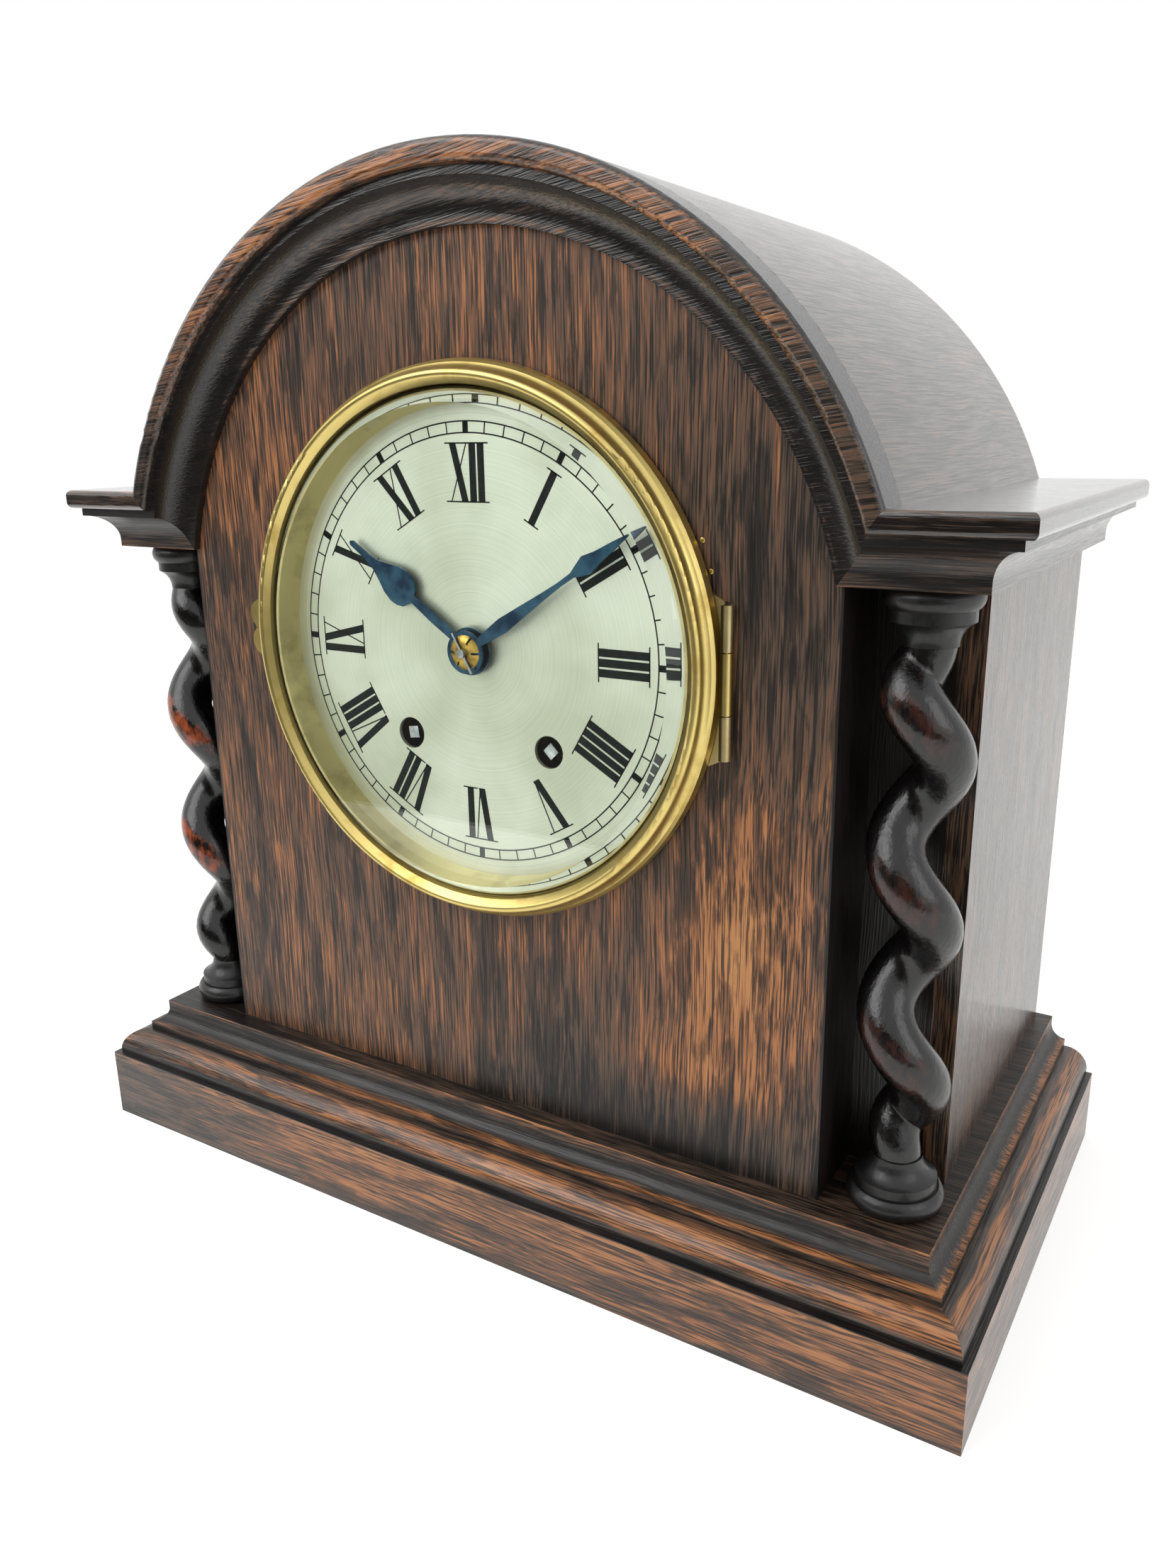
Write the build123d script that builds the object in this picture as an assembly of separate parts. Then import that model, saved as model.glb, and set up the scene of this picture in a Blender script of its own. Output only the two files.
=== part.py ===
from build123d import *
import math
import os

os.makedirs("parts", exist_ok=True)

# All sizes are in millimetres. X runs to the viewer's right, Y to the back and Z up.
# The origin lies on the underside, in the middle of the plinth.

# Plinth and platform
base_width = 322.0
base_depth = 168.0
plinth_height = 33.5
fascia_height = 25.2
ledge_width = 2.0
ledge_fillet = 1.6
rail_width = 24.0
back_rail_thickness = 10.0
base_board_thickness = 6.0
platform_inset = 10.4
platform_thickness = 10.5
platform_fillet = 2.7
platform_cove = 5.0

# Case walls
case_inset = 20.7
case_setback = 2.8
side_thickness = 7.0
front_setback = 22.4
corner_width = 28.3
panel_thickness = 10.0
recess_depth = 25.6
corner_thickness = 6.0
cheek_thickness = 8.0
roof_thickness = 6.0
back_thickness = 6.0

# Cornice and arch, which share one moulding
column_height = 170.1
cornice_overhang = 17.7
cornice_projection = 13.5
shelf_thickness = 6.0
shelf_nose = 1.8
shelf_bearing = 8.0
fillet_inset = 3.2
fillet_height = 2.5
cove_radius = 8.0
lip_height = 2.5
arch_overhang = 20.3

# Barley-twist columns
column_inset = 10.3
column_setback = 12.1
torus_radius = 13.3
torus_height = 6.0
cap_radius = 12.2
cap_height = 5.6
ring_height = 3.0
neck_radius = 6.9
neck_height = 6.0
twist_radius = 9.3
twist_throw = 3.8
twist_pitch = 45.2
twist_fade = 15.0
twist_sink = 0.4
crevice_start = 132.0
crevice_depth = 0.46
rim_steps = 12
turn_steps = 12
left_twist_start = 91.9
right_twist_start = -20.0

# Dial, bezel and hands
dial_height = 189.2
dial_radius = 72.4
dial_thickness = 1.2
dial_recess = 3.6
dial_fit = 0.3
surround_rise = 3.0
surround_sight = 69.0
surround_flange = 76.0
sheet_brass = 0.8
bezel_radius = 80.6
bezel_depth = 7.4
bezel_gap = 0.3
lip_radius = 73.8
glass_radius = 75.5
glass_edge = 0.7
glass_thickness = 5.2
glass_bevel = 6.4
retainer_width = 3.2
tab_lobe = 4.75
tab_spread = 8.5
tab_reach = 2.6
tab_rise = 2.0
hinge_length = 40.4
hinge_drop = 1.5
hinge_middle = 16.2
hinge_flare = 2.6
knuckle_radius = 1.6
knuckle_gap = 0.3
hinge_pin_radius = 0.6
winding_spread = 50.4
winding_drop = 27.7
winding_hole = 4.85
winding_square = 3.6
square_recess = 1.1
hand_thickness = 0.8
hour_boss = 7.0
minute_boss = 6.3
hour_length = 52.5
minute_length = 64.5
hour_gap = 1.6
minute_gap = 1.4
taper_radius = 0.45
taper_length = 13.0
washer_slots = 6
slot_width = 0.7
slot_root = 2.9
time_minutes = 609.5

# Movement
plate_width = 104.0
plate_thickness = 2.0
plate_spacing = 38.0
plate_below = 61.0
plate_above = 57.0
dial_to_plate = 10.8
pillar_radius = 3.0
pillar_inset = 5.0
bracket_clearance = 14.0
bracket_width = 10.0
bracket_thickness = 2.0
bracket_lap = 6.0
bracket_low = 22.0
bracket_high = 18.0
arbor_radius = 1.3
pivot_shoulder = 0.4
escape_arbor_radius = 0.8
escape_pivot_radius = 0.6
pivot_fit = 0.05
side_shake = 0.25
mesh_play = 0.1
great_teeth = 60
great_module = 0.78
second_pinion_teeth = 10
second_teeth = 50
second_module = 0.6
centre_pinion_teeth = 10
centre_teeth = 80
centre_module = 0.4
third_pinion_teeth = 8
third_teeth = 60
third_module = 0.45
escape_pinion_teeth = 6
escape_teeth = 48
escape_radius = 12.2
third_bearing = 115.0
cannon_teeth = 10
minute_wheel_teeth = 30
minute_pinion_teeth = 8
hour_teeth = 32
motion_module = 0.7
minute_bearing = 60.0
wheel_thickness = 1.2
great_thickness = 1.6
great_pinion_length = 3.6
pinion_length = 3.2
pinion_lead = 1.0
cannon_length = 2.4
cannon_setback = 2.8
hour_setback = 3.6
stud_overhang = 0.8
second_offset = 4.0
barrel_offset = 8.0
centre_offset = 13.0
third_offset = 20.0
escape_offset = 27.0
barrel_radius = 20.0
barrel_length = 22.5
winding_arbor_radius = 2.5
ratchet_radius = 8.0
ratchet_teeth = 18
ratchet_gap = 2.0
hammer_pins = 8
pin_circle = 11.5

# Escapement and pendulum
anchor_rise = 16.0
pallet_clearance = 1.3
crutch_length = 40.0
crutch_width = 3.0
pendulum_length = 140.0
pendulum_behind_plate = 12.0
rod_radius = 1.0
bob_radius = 16.0
bob_thickness = 9.0
nut_radius = 5.0
nut_height = 3.0
rod_tail = 3.0
spring_length = 8.0
spring_width = 6.0
spring_thickness = 0.4
spring_hold = 0.6
clamp_width = 4.0
clamp_depth = 6.8
clamp_height = 6.0

# Gong and hammer
gong_wire = 1.3
gong_pitch = 8.5
gong_turns = 4
gong_boss = 6.6
gong_height = 68.0
gong_behind_plate = 40.0
gong_post_width = 12.0
gong_post_depth = 6.0
gong_post_gap = 4.0
gong_foot_width = 44.0
gong_foot_depth = 22.0
gong_foot_height = 5.0
hammer_reach = 44.0
hammer_rise = 7.0
hammer_head_radius = 4.0
hammer_head_length = 9.0
hammer_gap = 1.5

# Back door
door_width = 160.0
door_sill = 18.0
door_springing = 146.0
door_fit = 0.6
door_knuckle = 1.2
door_leaf = 14.0
door_leaf_height = 24.0
catch_length = 26.0
catch_width = 9.0

# Places worked out from the sizes above
base_half = base_width / 2
fascia_y = -base_depth / 2
base_back = base_depth / 2
platform_top = plinth_height + platform_thickness
case_width = base_width - 2 * case_inset
case_half = case_width / 2
panel_width = case_width - 2 * corner_width
panel_half = panel_width / 2
panel_y = fascia_y + front_setback
panel_back = panel_y + panel_thickness
recess_y = panel_y + recess_depth
back_y = base_back - case_setback
inner_back = back_y - back_thickness
cornice_width = case_width + 2 * cornice_overhang
cornice_half = cornice_width / 2
shelf_y = panel_y - cornice_projection
cornice_bottom = platform_top + column_height
cornice_height = shelf_thickness + fillet_height + cove_radius + lip_height
shelf_top = cornice_bottom + cornice_height
shelf_bottom = shelf_top - shelf_thickness
arch_radius = panel_half + arch_overhang
roof_inside = arch_radius - roof_thickness
column_spacing = case_width - 2 * column_inset
bracket_reach = panel_half - cheek_thickness - bracket_clearance
dial_y = panel_y + dial_recess
dial_back = dial_y + dial_thickness
plate_front = dial_back + dial_to_plate
plate_inside = plate_front + plate_thickness
rear_inside = plate_inside + plate_spacing
plate_rear = rear_inside + plate_thickness
pivot_radius = arbor_radius - pivot_shoulder
diagonal = math.sqrt(0.5)


# Shaping helpers
def save(shape, name):
    export_step(shape, "parts/" + name + ".step")


def block(x0, x1, y0, y1, z0, z1):
    middle = Pos((x0 + x1) / 2, (y0 + y1) / 2, (z0 + z1) / 2)
    return middle * Box(x1 - x0, y1 - y0, z1 - z0)


def outline(*lines):
    return make_face([edge for line in lines for edge in line.edges()])


def polygon(points):
    return outline(Polyline(*points, close=True))


def slab(face, y0, y1):
    return extrude(Plane.XZ.offset(-y1) * face, amount=y1 - y0)


def along_x(face, x0, x1):
    return extrude(Plane.YZ.offset(x0) * face, amount=x1 - x0)


def upright(face, z0, z1):
    return extrude(Plane.XY.offset(z0) * face, amount=z1 - z0)


def rod(spot, y0, y1, radius):
    return slab(Pos(*spot) * Circle(radius), y0, y1)


def turned(face, spot):
    return Pos(spot[0], 0, spot[1]) * revolve(face, axis=Axis.Y)


def mirrored(shape):
    return mirror(shape, about=Plane.YZ)


def toward(spot, bearing, distance):
    turn = math.radians(bearing)
    return (spot[0] + distance * math.cos(turn), spot[1] + distance * math.sin(turn))


def bearing_to(spot, other):
    return math.degrees(math.atan2(other[1] - spot[1], other[0] - spot[0]))


def meeting_point(spot, reach, other, other_reach):
    span = math.dist(spot, other)
    along = (reach**2 - other_reach**2 + span**2) / (2 * span)
    aside = math.sqrt(reach**2 - along**2)
    return toward(toward(spot, bearing_to(spot, other), along), bearing_to(spot, other) - 90, aside)


# Plinth: moulded rails mitred at the front corners and cut square at the back
def plinth_section(place):
    ovolo_foot = fascia_height + ledge_fillet
    ovolo_run = platform_inset - ledge_width
    ovolo_rise = plinth_height - ovolo_foot
    ovolo_middle = (platform_inset - diagonal * ovolo_run, ovolo_foot + diagonal * ovolo_rise)
    return outline(
        Polyline(
            place(platform_inset, plinth_height),
            place(rail_width, plinth_height),
            place(rail_width, 0),
            place(0, 0),
            place(0, fascia_height),
            place(ledge_width, fascia_height),
            place(ledge_width, ovolo_foot),
        ),
        ThreePointArc(
            place(ledge_width, ovolo_foot),
            place(*ovolo_middle),
            place(platform_inset, plinth_height),
        ),
    )


def plinth():
    inner_x = base_half - rail_width
    inner_y = fascia_y + rail_width
    front_plan = polygon(
        [(-base_half, fascia_y), (base_half, fascia_y), (inner_x, inner_y), (-inner_x, inner_y)]
    )
    side_plan = polygon(
        [(base_half, fascia_y), (base_half, base_back), (inner_x, base_back), (inner_x, inner_y)]
    )
    front = along_x(plinth_section(lambda inset, z: (fascia_y + inset, z)), -base_half, base_half)
    side = slab(plinth_section(lambda inset, z: (base_half - inset, z)), fascia_y, base_back)
    right = side & upright(side_plan, 0, plinth_height)
    back_rail_front = base_back - back_rail_thickness
    save(front & upright(front_plan, 0, plinth_height), "plinth_front")
    save(right, "plinth_right")
    save(mirrored(right), "plinth_left")
    save(block(-inner_x, inner_x, back_rail_front, base_back, 0, plinth_height), "plinth_back")
    save(block(-inner_x, inner_x, inner_y, back_rail_front, 0, base_board_thickness), "base_board")


# Platform: one board with a hollow worked on the front and side edges
def platform_edge(place, back, back_z):
    fillet_top = plinth_height + platform_fillet
    inset = platform_inset + platform_cove
    cove_top = fillet_top + platform_cove
    cove_middle = (
        platform_inset + diagonal * platform_cove,
        cove_top - diagonal * platform_cove,
    )
    return outline(
        Polyline(
            place(inset, cove_top),
            place(inset, platform_top),
            back(platform_top),
            back(back_z),
            place(platform_inset, plinth_height),
            place(platform_inset, fillet_top),
        ),
        ThreePointArc(
            place(platform_inset, fillet_top), place(*cove_middle), place(inset, cove_top)
        ),
    )


def platform():
    front = platform_edge(
        lambda inset, z: (fascia_y + inset, z), lambda z: (base_back, z), plinth_height
    )
    side = platform_edge(lambda inset, z: (base_half - inset, z), lambda z: (0, z), plinth_height)
    right = slab(side, fascia_y, base_back)
    board = along_x(front, -base_half, base_half) & (right + mirrored(right))
    save(board, "platform_board")


# Case walls
def walls():
    inner_side = case_half - side_thickness
    side = block(inner_side, case_half, recess_y, back_y, platform_top, shelf_bottom)
    save(side, "right_side_panel")
    save(mirrored(side), "left_side_panel")
    corner_back = recess_y + corner_thickness
    cheek_inner = panel_half - cheek_thickness
    corner = block(panel_half, inner_side, recess_y, corner_back, platform_top, shelf_bottom)
    cheek = block(cheek_inner, panel_half, panel_back, corner_back, platform_top, shelf_bottom)
    post = corner + cheek
    save(post, "right_corner_post")
    save(mirrored(post), "left_corner_post")


def front_panel():
    head = Pos(0, dial_height) * Circle(roof_inside)
    strip_height = dial_height + roof_inside - platform_top
    strip = Pos(0, platform_top + strip_height / 2) * Rectangle(panel_width, strip_height)
    foot_height = dial_height - platform_top
    foot = Pos(0, platform_top + foot_height / 2) * Rectangle(panel_width, foot_height)
    opening = Pos(0, dial_height) * Circle(dial_radius + dial_fit)
    save(slab((head & strip) + foot - opening, panel_y, panel_back), "front_panel")


# Cornice and arch: one moulding, straight at the shoulders and bent round the dial
def shelf_section(place, depth):
    corner = shelf_nose * (1 - diagonal)
    return outline(
        Polyline(
            place(shelf_nose, shelf_thickness),
            place(depth, shelf_thickness),
            place(depth, 0),
            place(shelf_nose, 0),
        ),
        ThreePointArc(place(shelf_nose, 0), place(corner, corner), place(0, shelf_nose)),
        Line(place(0, shelf_nose), place(0, shelf_thickness - shelf_nose)),
        ThreePointArc(
            place(0, shelf_thickness - shelf_nose),
            place(corner, shelf_thickness - corner),
            place(shelf_nose, shelf_thickness),
        ),
    )


def cove_section(place, depth):
    cove_top = shelf_thickness + fillet_height
    cove_foot = cove_top + cove_radius
    foot_inset = fillet_inset + cove_radius
    return outline(
        Polyline(
            place(foot_inset, cove_foot),
            place(foot_inset, cornice_height),
            place(depth, cornice_height),
            place(depth, shelf_thickness),
            place(fillet_inset, shelf_thickness),
            place(fillet_inset, cove_top),
        ),
        ThreePointArc(
            place(fillet_inset, cove_top),
            place(fillet_inset + diagonal * cove_radius, cove_foot - diagonal * cove_radius),
            place(foot_inset, cove_foot),
        ),
    )


def arch_zone():
    outer_x = math.sqrt(arch_radius**2 - (shelf_top - dial_height) ** 2)
    inner_radius = arch_radius - cornice_height
    inner_x = math.sqrt(inner_radius**2 - (cornice_bottom - dial_height) ** 2)
    slope = bearing_to((inner_x, cornice_bottom), (outer_x, shelf_top))
    low = toward((inner_x, cornice_bottom), slope + 180, arch_radius / 3)
    high = toward((outer_x, shelf_top), slope, arch_radius / 3)
    top = dial_height + 2 * arch_radius
    right_edge = [low, high, (high[0], top)]
    left_edge = [(-x, z) for x, z in reversed(right_edge)]
    return slab(polygon(right_edge + left_edge), shelf_y, panel_y)


def arch_moulding():
    band = shelf_section(lambda inset, drop: (arch_radius - drop, shelf_y + inset), cornice_projection)
    cove = cove_section(lambda inset, drop: (arch_radius - drop, shelf_y + inset), cornice_projection)
    ring = turned(band + cove, (0, dial_height))
    save(ring & arch_zone(), "arch_moulding")


def shoulders():
    roof_seat = math.sqrt(roof_inside**2 - (shelf_top - dial_height) ** 2)
    shelf_inner = max(panel_half, roof_seat - shelf_bearing) + dial_fit
    front_shelf = shelf_section(
        lambda inset, drop: (shelf_y + inset, shelf_top - drop), back_y - shelf_y
    )
    side_shelf = shelf_section(
        lambda inset, drop: (cornice_half - inset, shelf_top - drop), cornice_half - shelf_inner
    )
    shelf = along_x(front_shelf, shelf_inner, cornice_half) & slab(side_shelf, shelf_y, back_y)
    shelf = shelf - arch_zone()
    save(shelf, "right_shelf")
    save(mirrored(shelf), "left_shelf")
    mitre_run = cornice_half - case_half
    front_cove = cove_section(
        lambda inset, drop: (shelf_y + inset, shelf_top - drop), recess_y - shelf_y
    )
    side_cove = cove_section(lambda inset, drop: (cornice_half - inset, shelf_top - drop), mitre_run)
    front_plan = polygon(
        [
            (panel_half / 2, shelf_y),
            (cornice_half, shelf_y),
            (case_half, shelf_y + mitre_run),
            (case_half, recess_y),
            (panel_half, recess_y),
            (panel_half, panel_y),
            (panel_half / 2, panel_y),
        ]
    )
    side_plan = polygon(
        [
            (cornice_half, shelf_y),
            (cornice_half, back_y),
            (case_half, back_y),
            (case_half, shelf_y + mitre_run),
        ]
    )
    front = along_x(front_cove, panel_half / 2, cornice_half)
    front = (front & upright(front_plan, cornice_bottom, shelf_bottom)) - arch_zone()
    side = slab(side_cove, shelf_y, back_y) & upright(side_plan, cornice_bottom, shelf_bottom)
    save(front, "right_cornice_front")
    save(mirrored(front), "left_cornice_front")
    save(side, "right_cornice_side")
    save(mirrored(side), "left_cornice_side")


def above_shelf(radius):
    disc = Pos(0, dial_height) * Circle(radius)
    height = dial_height + arch_radius - shelf_top
    return disc & (Pos(0, shelf_top + height / 2) * Rectangle(2 * arch_radius, height))


def roof():
    save(slab(above_shelf(arch_radius) - above_shelf(roof_inside), panel_y, back_y), "roof_shell")


# Barley-twist columns: a round section that winds round the axis, left-handed, between turned ends
def turned_end(foot_radius, foot_height):
    ring_radius = (foot_radius + neck_radius) / 2 + 1
    ring_top = foot_height + ring_height
    neck_top = ring_top + neck_height
    edge = foot_radius - foot_height / 4
    hollow = (neck_radius + 0.25 * (ring_radius - neck_radius), ring_top + 0.4 * neck_height)
    section = outline(
        Polyline((edge, 0), (0, 0), (0, neck_top), (neck_radius, neck_top)),
        ThreePointArc((neck_radius, neck_top), hollow, (ring_radius, ring_top)),
        Polyline((ring_radius, ring_top), (ring_radius, foot_height), (edge, foot_height)),
        ThreePointArc((edge, foot_height), (foot_radius, foot_height / 2), (edge, 0)),
    )
    return revolve(Plane.XZ * section, axis=Axis.Z)


def twist_section(radius, throw, cut):
    rim = []
    for step in range(rim_steps + 1):
        angle = math.radians(crevice_start * (2 * step / rim_steps - 1))
        rim.append((throw + radius * math.cos(angle), radius * math.sin(angle)))
    crevice = (throw - radius * (1 - cut), 0)
    return make_face(Spline(crevice, *rim, crevice))


def twist(start_angle):
    low = torus_height + ring_height + neck_height - 1
    high = column_height - cap_height - ring_height - neck_height + 1
    middle = (low + high) / 2
    steps = round(turn_steps * (high - low) / twist_pitch)
    sections = []
    for step in range(steps + 1):
        z = low + (high - low) * step / steps
        fade = min(1, (z - low) / twist_fade, (high - z) / twist_fade)
        swell = fade * fade * (3 - 2 * fade)
        radius = neck_radius - twist_sink + (twist_radius - neck_radius + twist_sink) * swell
        section = twist_section(radius, twist_throw * swell, crevice_depth * swell)
        turn = start_angle - 360 * (z - middle) / twist_pitch
        sections.append(Pos(0, 0, z) * Rot(0, 0, turn) * section)
    return loft(sections)


def column(x, start_angle, name):
    foot = turned_end(torus_radius, torus_height)
    cap = Pos(0, 0, column_height) * mirror(turned_end(cap_radius, cap_height), about=Plane.XY)
    place = Pos(x, panel_y + column_setback, platform_top)
    save(place * (foot + twist(start_angle) + cap), name)


# Dial, fixed surround and bezel door
def winding_spots():
    drop = dial_height - winding_drop
    return (winding_spread / 2, drop), (-winding_spread / 2, drop)


hinge_axis_x = bezel_radius + knuckle_radius + 0.2
surround_front = panel_y - sheet_brass
bezel_rear = surround_front - bezel_gap
bezel_front = bezel_rear - bezel_depth
glass_back = bezel_rear - retainer_width
hinge_axis_y = bezel_rear - knuckle_radius + sheet_brass / 2
hinge_z = dial_height - hinge_drop
hinge_half = hinge_length / 2
middle_half = hinge_middle / 2


def knuckle(radius, z0, z1):
    place = Pos(hinge_axis_x, hinge_axis_y)
    return upright(place * Circle(radius), z0, z1)


def dial():
    plate = Circle(dial_radius) - Circle(hour_boss - 2)
    plate = Pos(0, dial_height) * plate
    for spot in winding_spots():
        plate -= Pos(*spot) * Circle(winding_hole)
    save(slab(plate, dial_y, dial_back), "dial_plate")
    feet = [
        rod((0.7 * x * plate_width / 2, dial_height + z * 0.8 * plate_above), dial_back, plate_front, 1.5)
        for x in (-1, 1)
        for z in (-1, 1)
    ]
    save(Compound(feet), "dial_feet")


def surround():
    rim_front = surround_front - surround_rise
    section = polygon(
        [
            (surround_sight, dial_y),
            (surround_sight + 1.6, rim_front),
            (surround_sight + 2.6, rim_front),
            (surround_sight + 2.8, surround_front),
            (surround_flange, surround_front),
            (surround_flange, panel_y),
            (dial_radius, panel_y),
            (dial_radius, dial_y),
        ]
    )
    ring = turned(section, (0, dial_height))
    for side in (-1, 1):
        inner = hinge_z + side * (middle_half + knuckle_gap)
        outer = hinge_z + side * hinge_half
        flare = outer + side * hinge_flare
        leaf = polygon(
            [
                (surround_flange - 4, inner),
                (hinge_axis_x, inner),
                (hinge_axis_x, outer),
                (surround_flange + 1, flare),
                (surround_flange - 4, flare),
            ]
        )
        low, high = sorted((inner, outer))
        half_wrap = knuckle_radius / 2
        wrap = block(
            hinge_axis_x - half_wrap, hinge_axis_x + half_wrap, hinge_axis_y, surround_front, low, high
        )
        ring += slab(leaf, surround_front, panel_y) + wrap + knuckle(knuckle_radius, low, high)
    pin = knuckle(hinge_pin_radius, hinge_z - hinge_half, hinge_z + hinge_half)
    save(ring + pin, "dial_surround")


def bezel():
    seat_front = glass_back - glass_edge
    lip_front = bezel_front + 1.8
    section = outline(
        Polyline(
            (bezel_radius - 0.4, bezel_rear - 2.4),
            (bezel_radius, bezel_rear),
            (glass_radius + dial_fit, bezel_rear),
            (glass_radius + dial_fit, seat_front),
            (lip_radius, seat_front),
            (lip_radius, lip_front),
            (lip_radius + 1.7, bezel_front + 0.3),
        ),
        ThreePointArc(
            (lip_radius + 1.7, bezel_front + 0.3),
            (lip_radius + 2.9, bezel_front),
            (lip_radius + 4.0, bezel_front + 1.0),
        ),
        ThreePointArc(
            (lip_radius + 4.0, bezel_front + 1.0),
            (lip_radius + 4.5, bezel_front + 3.0),
            (bezel_radius - 1.2, bezel_rear - 3.4),
        ),
        Line((bezel_radius - 1.2, bezel_rear - 3.4), (bezel_radius - 0.4, bezel_rear - 2.4)),
    )
    ring = turned(section, (0, dial_height))
    tab = Rectangle(4, tab_spread)
    for side in (-1, 1):
        tab += Pos(0, side * tab_spread / 2) * Circle(tab_lobe)
    tab = Pos(tab_lobe - bezel_radius - tab_reach, dial_height + tab_rise) * tab
    tab -= Pos(0, dial_height) * Circle(lip_radius + 2.5)
    tab_front = bezel_front + 0.4 * bezel_depth
    save(ring + slab(tab, tab_front, tab_front + 1), "bezel_ring")
    clear_edge = glass_radius - glass_bevel
    glass_front = glass_back - glass_thickness
    glass = polygon(
        [
            (0, glass_back),
            (glass_radius, glass_back),
            (glass_radius, seat_front + 0.05),
            (lip_radius - 0.2, seat_front + 0.05),
            (clear_edge, glass_front),
            (0, glass_front),
        ]
    )
    save(turned(glass, (0, dial_height)), "bezel_glass")
    retainer = polygon(
        [
            (glass_radius, glass_back),
            (glass_radius, bezel_rear - 1),
            (glass_radius - 1, bezel_rear - 1),
            (lip_radius - 1, glass_back + 0.8),
            (lip_radius - 1, glass_back),
        ]
    )
    save(turned(retainer, (0, dial_height)), "glass_retainer")
    leaf = block(
        surround_flange + 1,
        hinge_axis_x,
        bezel_rear,
        bezel_rear + sheet_brass,
        hinge_z - middle_half,
        hinge_z + middle_half,
    )
    leaf += knuckle(knuckle_radius, hinge_z - middle_half, hinge_z + middle_half)
    bore = knuckle(hinge_pin_radius + pivot_fit, hinge_z - middle_half, hinge_z + middle_half)
    save(leaf - bore, "bezel_hinge_leaf")


# Hands and the motion work that carries them
centre = (0, dial_height)
minute_angle = 90 - time_minutes % 60 * 6
hour_angle = 90 - time_minutes / 2
cannon_radius = 2.0
hour_pipe = 2.9
hour_hand_y = dial_y - hour_gap
minute_hand_y = hour_hand_y - hand_thickness - minute_gap
washer_y = minute_hand_y - hand_thickness
pin_y = washer_y - 1.0 - taper_radius
tip_y = pin_y - taper_radius - 0.4


def hand_face(boss, bore, shape, angle):
    left = [(along, -half) for along, half in reversed(shape)]
    blade = polygon(shape + left) + Circle(boss) - Circle(bore)
    return Pos(*centre) * Rot(0, 0, angle) * blade


def hands():
    spade = [
        (hour_boss - 1, 1.3),
        (0.3 * hour_length, 1.55),
        (0.47 * hour_length, 1.2),
        (0.475 * hour_length, 2.4),
        (0.5 * hour_length, 4.2),
        (0.54 * hour_length, 5.2),
        (0.585 * hour_length, 5.5),
        (0.65 * hour_length, 4.8),
        (0.715 * hour_length, 3.1),
        (0.78 * hour_length, 1.7),
        (0.86 * hour_length, 0.95),
        (hour_length - 0.7, 0.8),
        (hour_length, 0.3),
    ]
    spear = [
        (minute_boss - 1, 1.1),
        (0.16 * minute_length, 1.7),
        (0.25 * minute_length, 2.2),
        (0.38 * minute_length, 1.6),
        (0.5 * minute_length, 1.0),
        (0.6 * minute_length, 0.65),
        (0.68 * minute_length, 0.75),
        (0.72 * minute_length, 1.7),
        (0.765 * minute_length, 2.7),
        (0.83 * minute_length, 1.7),
        (0.92 * minute_length, 1.0),
        (minute_length, 0.25),
    ]
    hour = hand_face(hour_boss, hour_pipe, spade, hour_angle)
    save(slab(hour, hour_hand_y - hand_thickness, hour_hand_y), "hour_hand")
    minute = hand_face(minute_boss, cannon_radius, spear, minute_angle)
    save(slab(minute, minute_hand_y - hand_thickness, minute_hand_y), "minute_hand")
    washer = outline(
        Line((arbor_radius + pivot_fit, washer_y), (minute_boss - 1.2, washer_y)),
        ThreePointArc(
            (minute_boss - 1.2, washer_y),
            (minute_boss - 2.4, washer_y - 0.75),
            (arbor_radius + pivot_fit, washer_y - 0.9),
        ),
        Line((arbor_radius + pivot_fit, washer_y - 0.9), (arbor_radius + pivot_fit, washer_y)),
    )
    dish = turned(washer, centre)
    for step in range(washer_slots):
        slot = Pos(minute_boss, 0) * Rectangle(2 * (minute_boss - slot_root), slot_width)
        slot = Pos(*centre) * Rot(0, 0, 360 * step / washer_slots) * slot
        dish -= slab(slot, washer_y - 1, washer_y + 0.1)
    save(dish, "hand_washer")
    taper = Plane((0, pin_y, dial_height), x_dir=(0, 1, 0), z_dir=(-0.5, 0, 0.866))
    save(taper * Cone(taper_radius, 0.6 * taper_radius, taper_length), "taper_pin")


def wheel_face(teeth, module, phase, bore=0):
    tip = module * (teeth / 2 + 1.1)
    root = module * (teeth / 2 - 1.1)
    step = 360 / teeth
    points = []
    for tooth in range(teeth):
        lead = phase + tooth * step
        points.append(toward((0, 0), lead - 0.31 * step, root))
        points.append(toward((0, 0), lead, tip))
        points.append(toward((0, 0), lead + 0.31 * step, root))
    face = polygon(points)
    return face - Circle(bore) if bore else face


def pinion_face(leaves, module, phase, bore=0):
    tip = module * (leaves / 2 + 0.7)
    root = module * (leaves / 2 - 1.4)
    step = 360 / leaves
    points = []
    for leaf in range(leaves):
        lead = phase + (leaf + 0.5) * step
        points.append(toward((0, 0), lead - 0.26 * step, root))
        points.append(toward((0, 0), lead - 0.08 * step, tip))
        points.append(toward((0, 0), lead + 0.08 * step, tip))
        points.append(toward((0, 0), lead + 0.26 * step, root))
    face = polygon(points)
    return face - Circle(bore) if bore else face


def mesh_distance(teeth, leaves, module):
    return module * (teeth + leaves) / 2 + mesh_play


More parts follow.
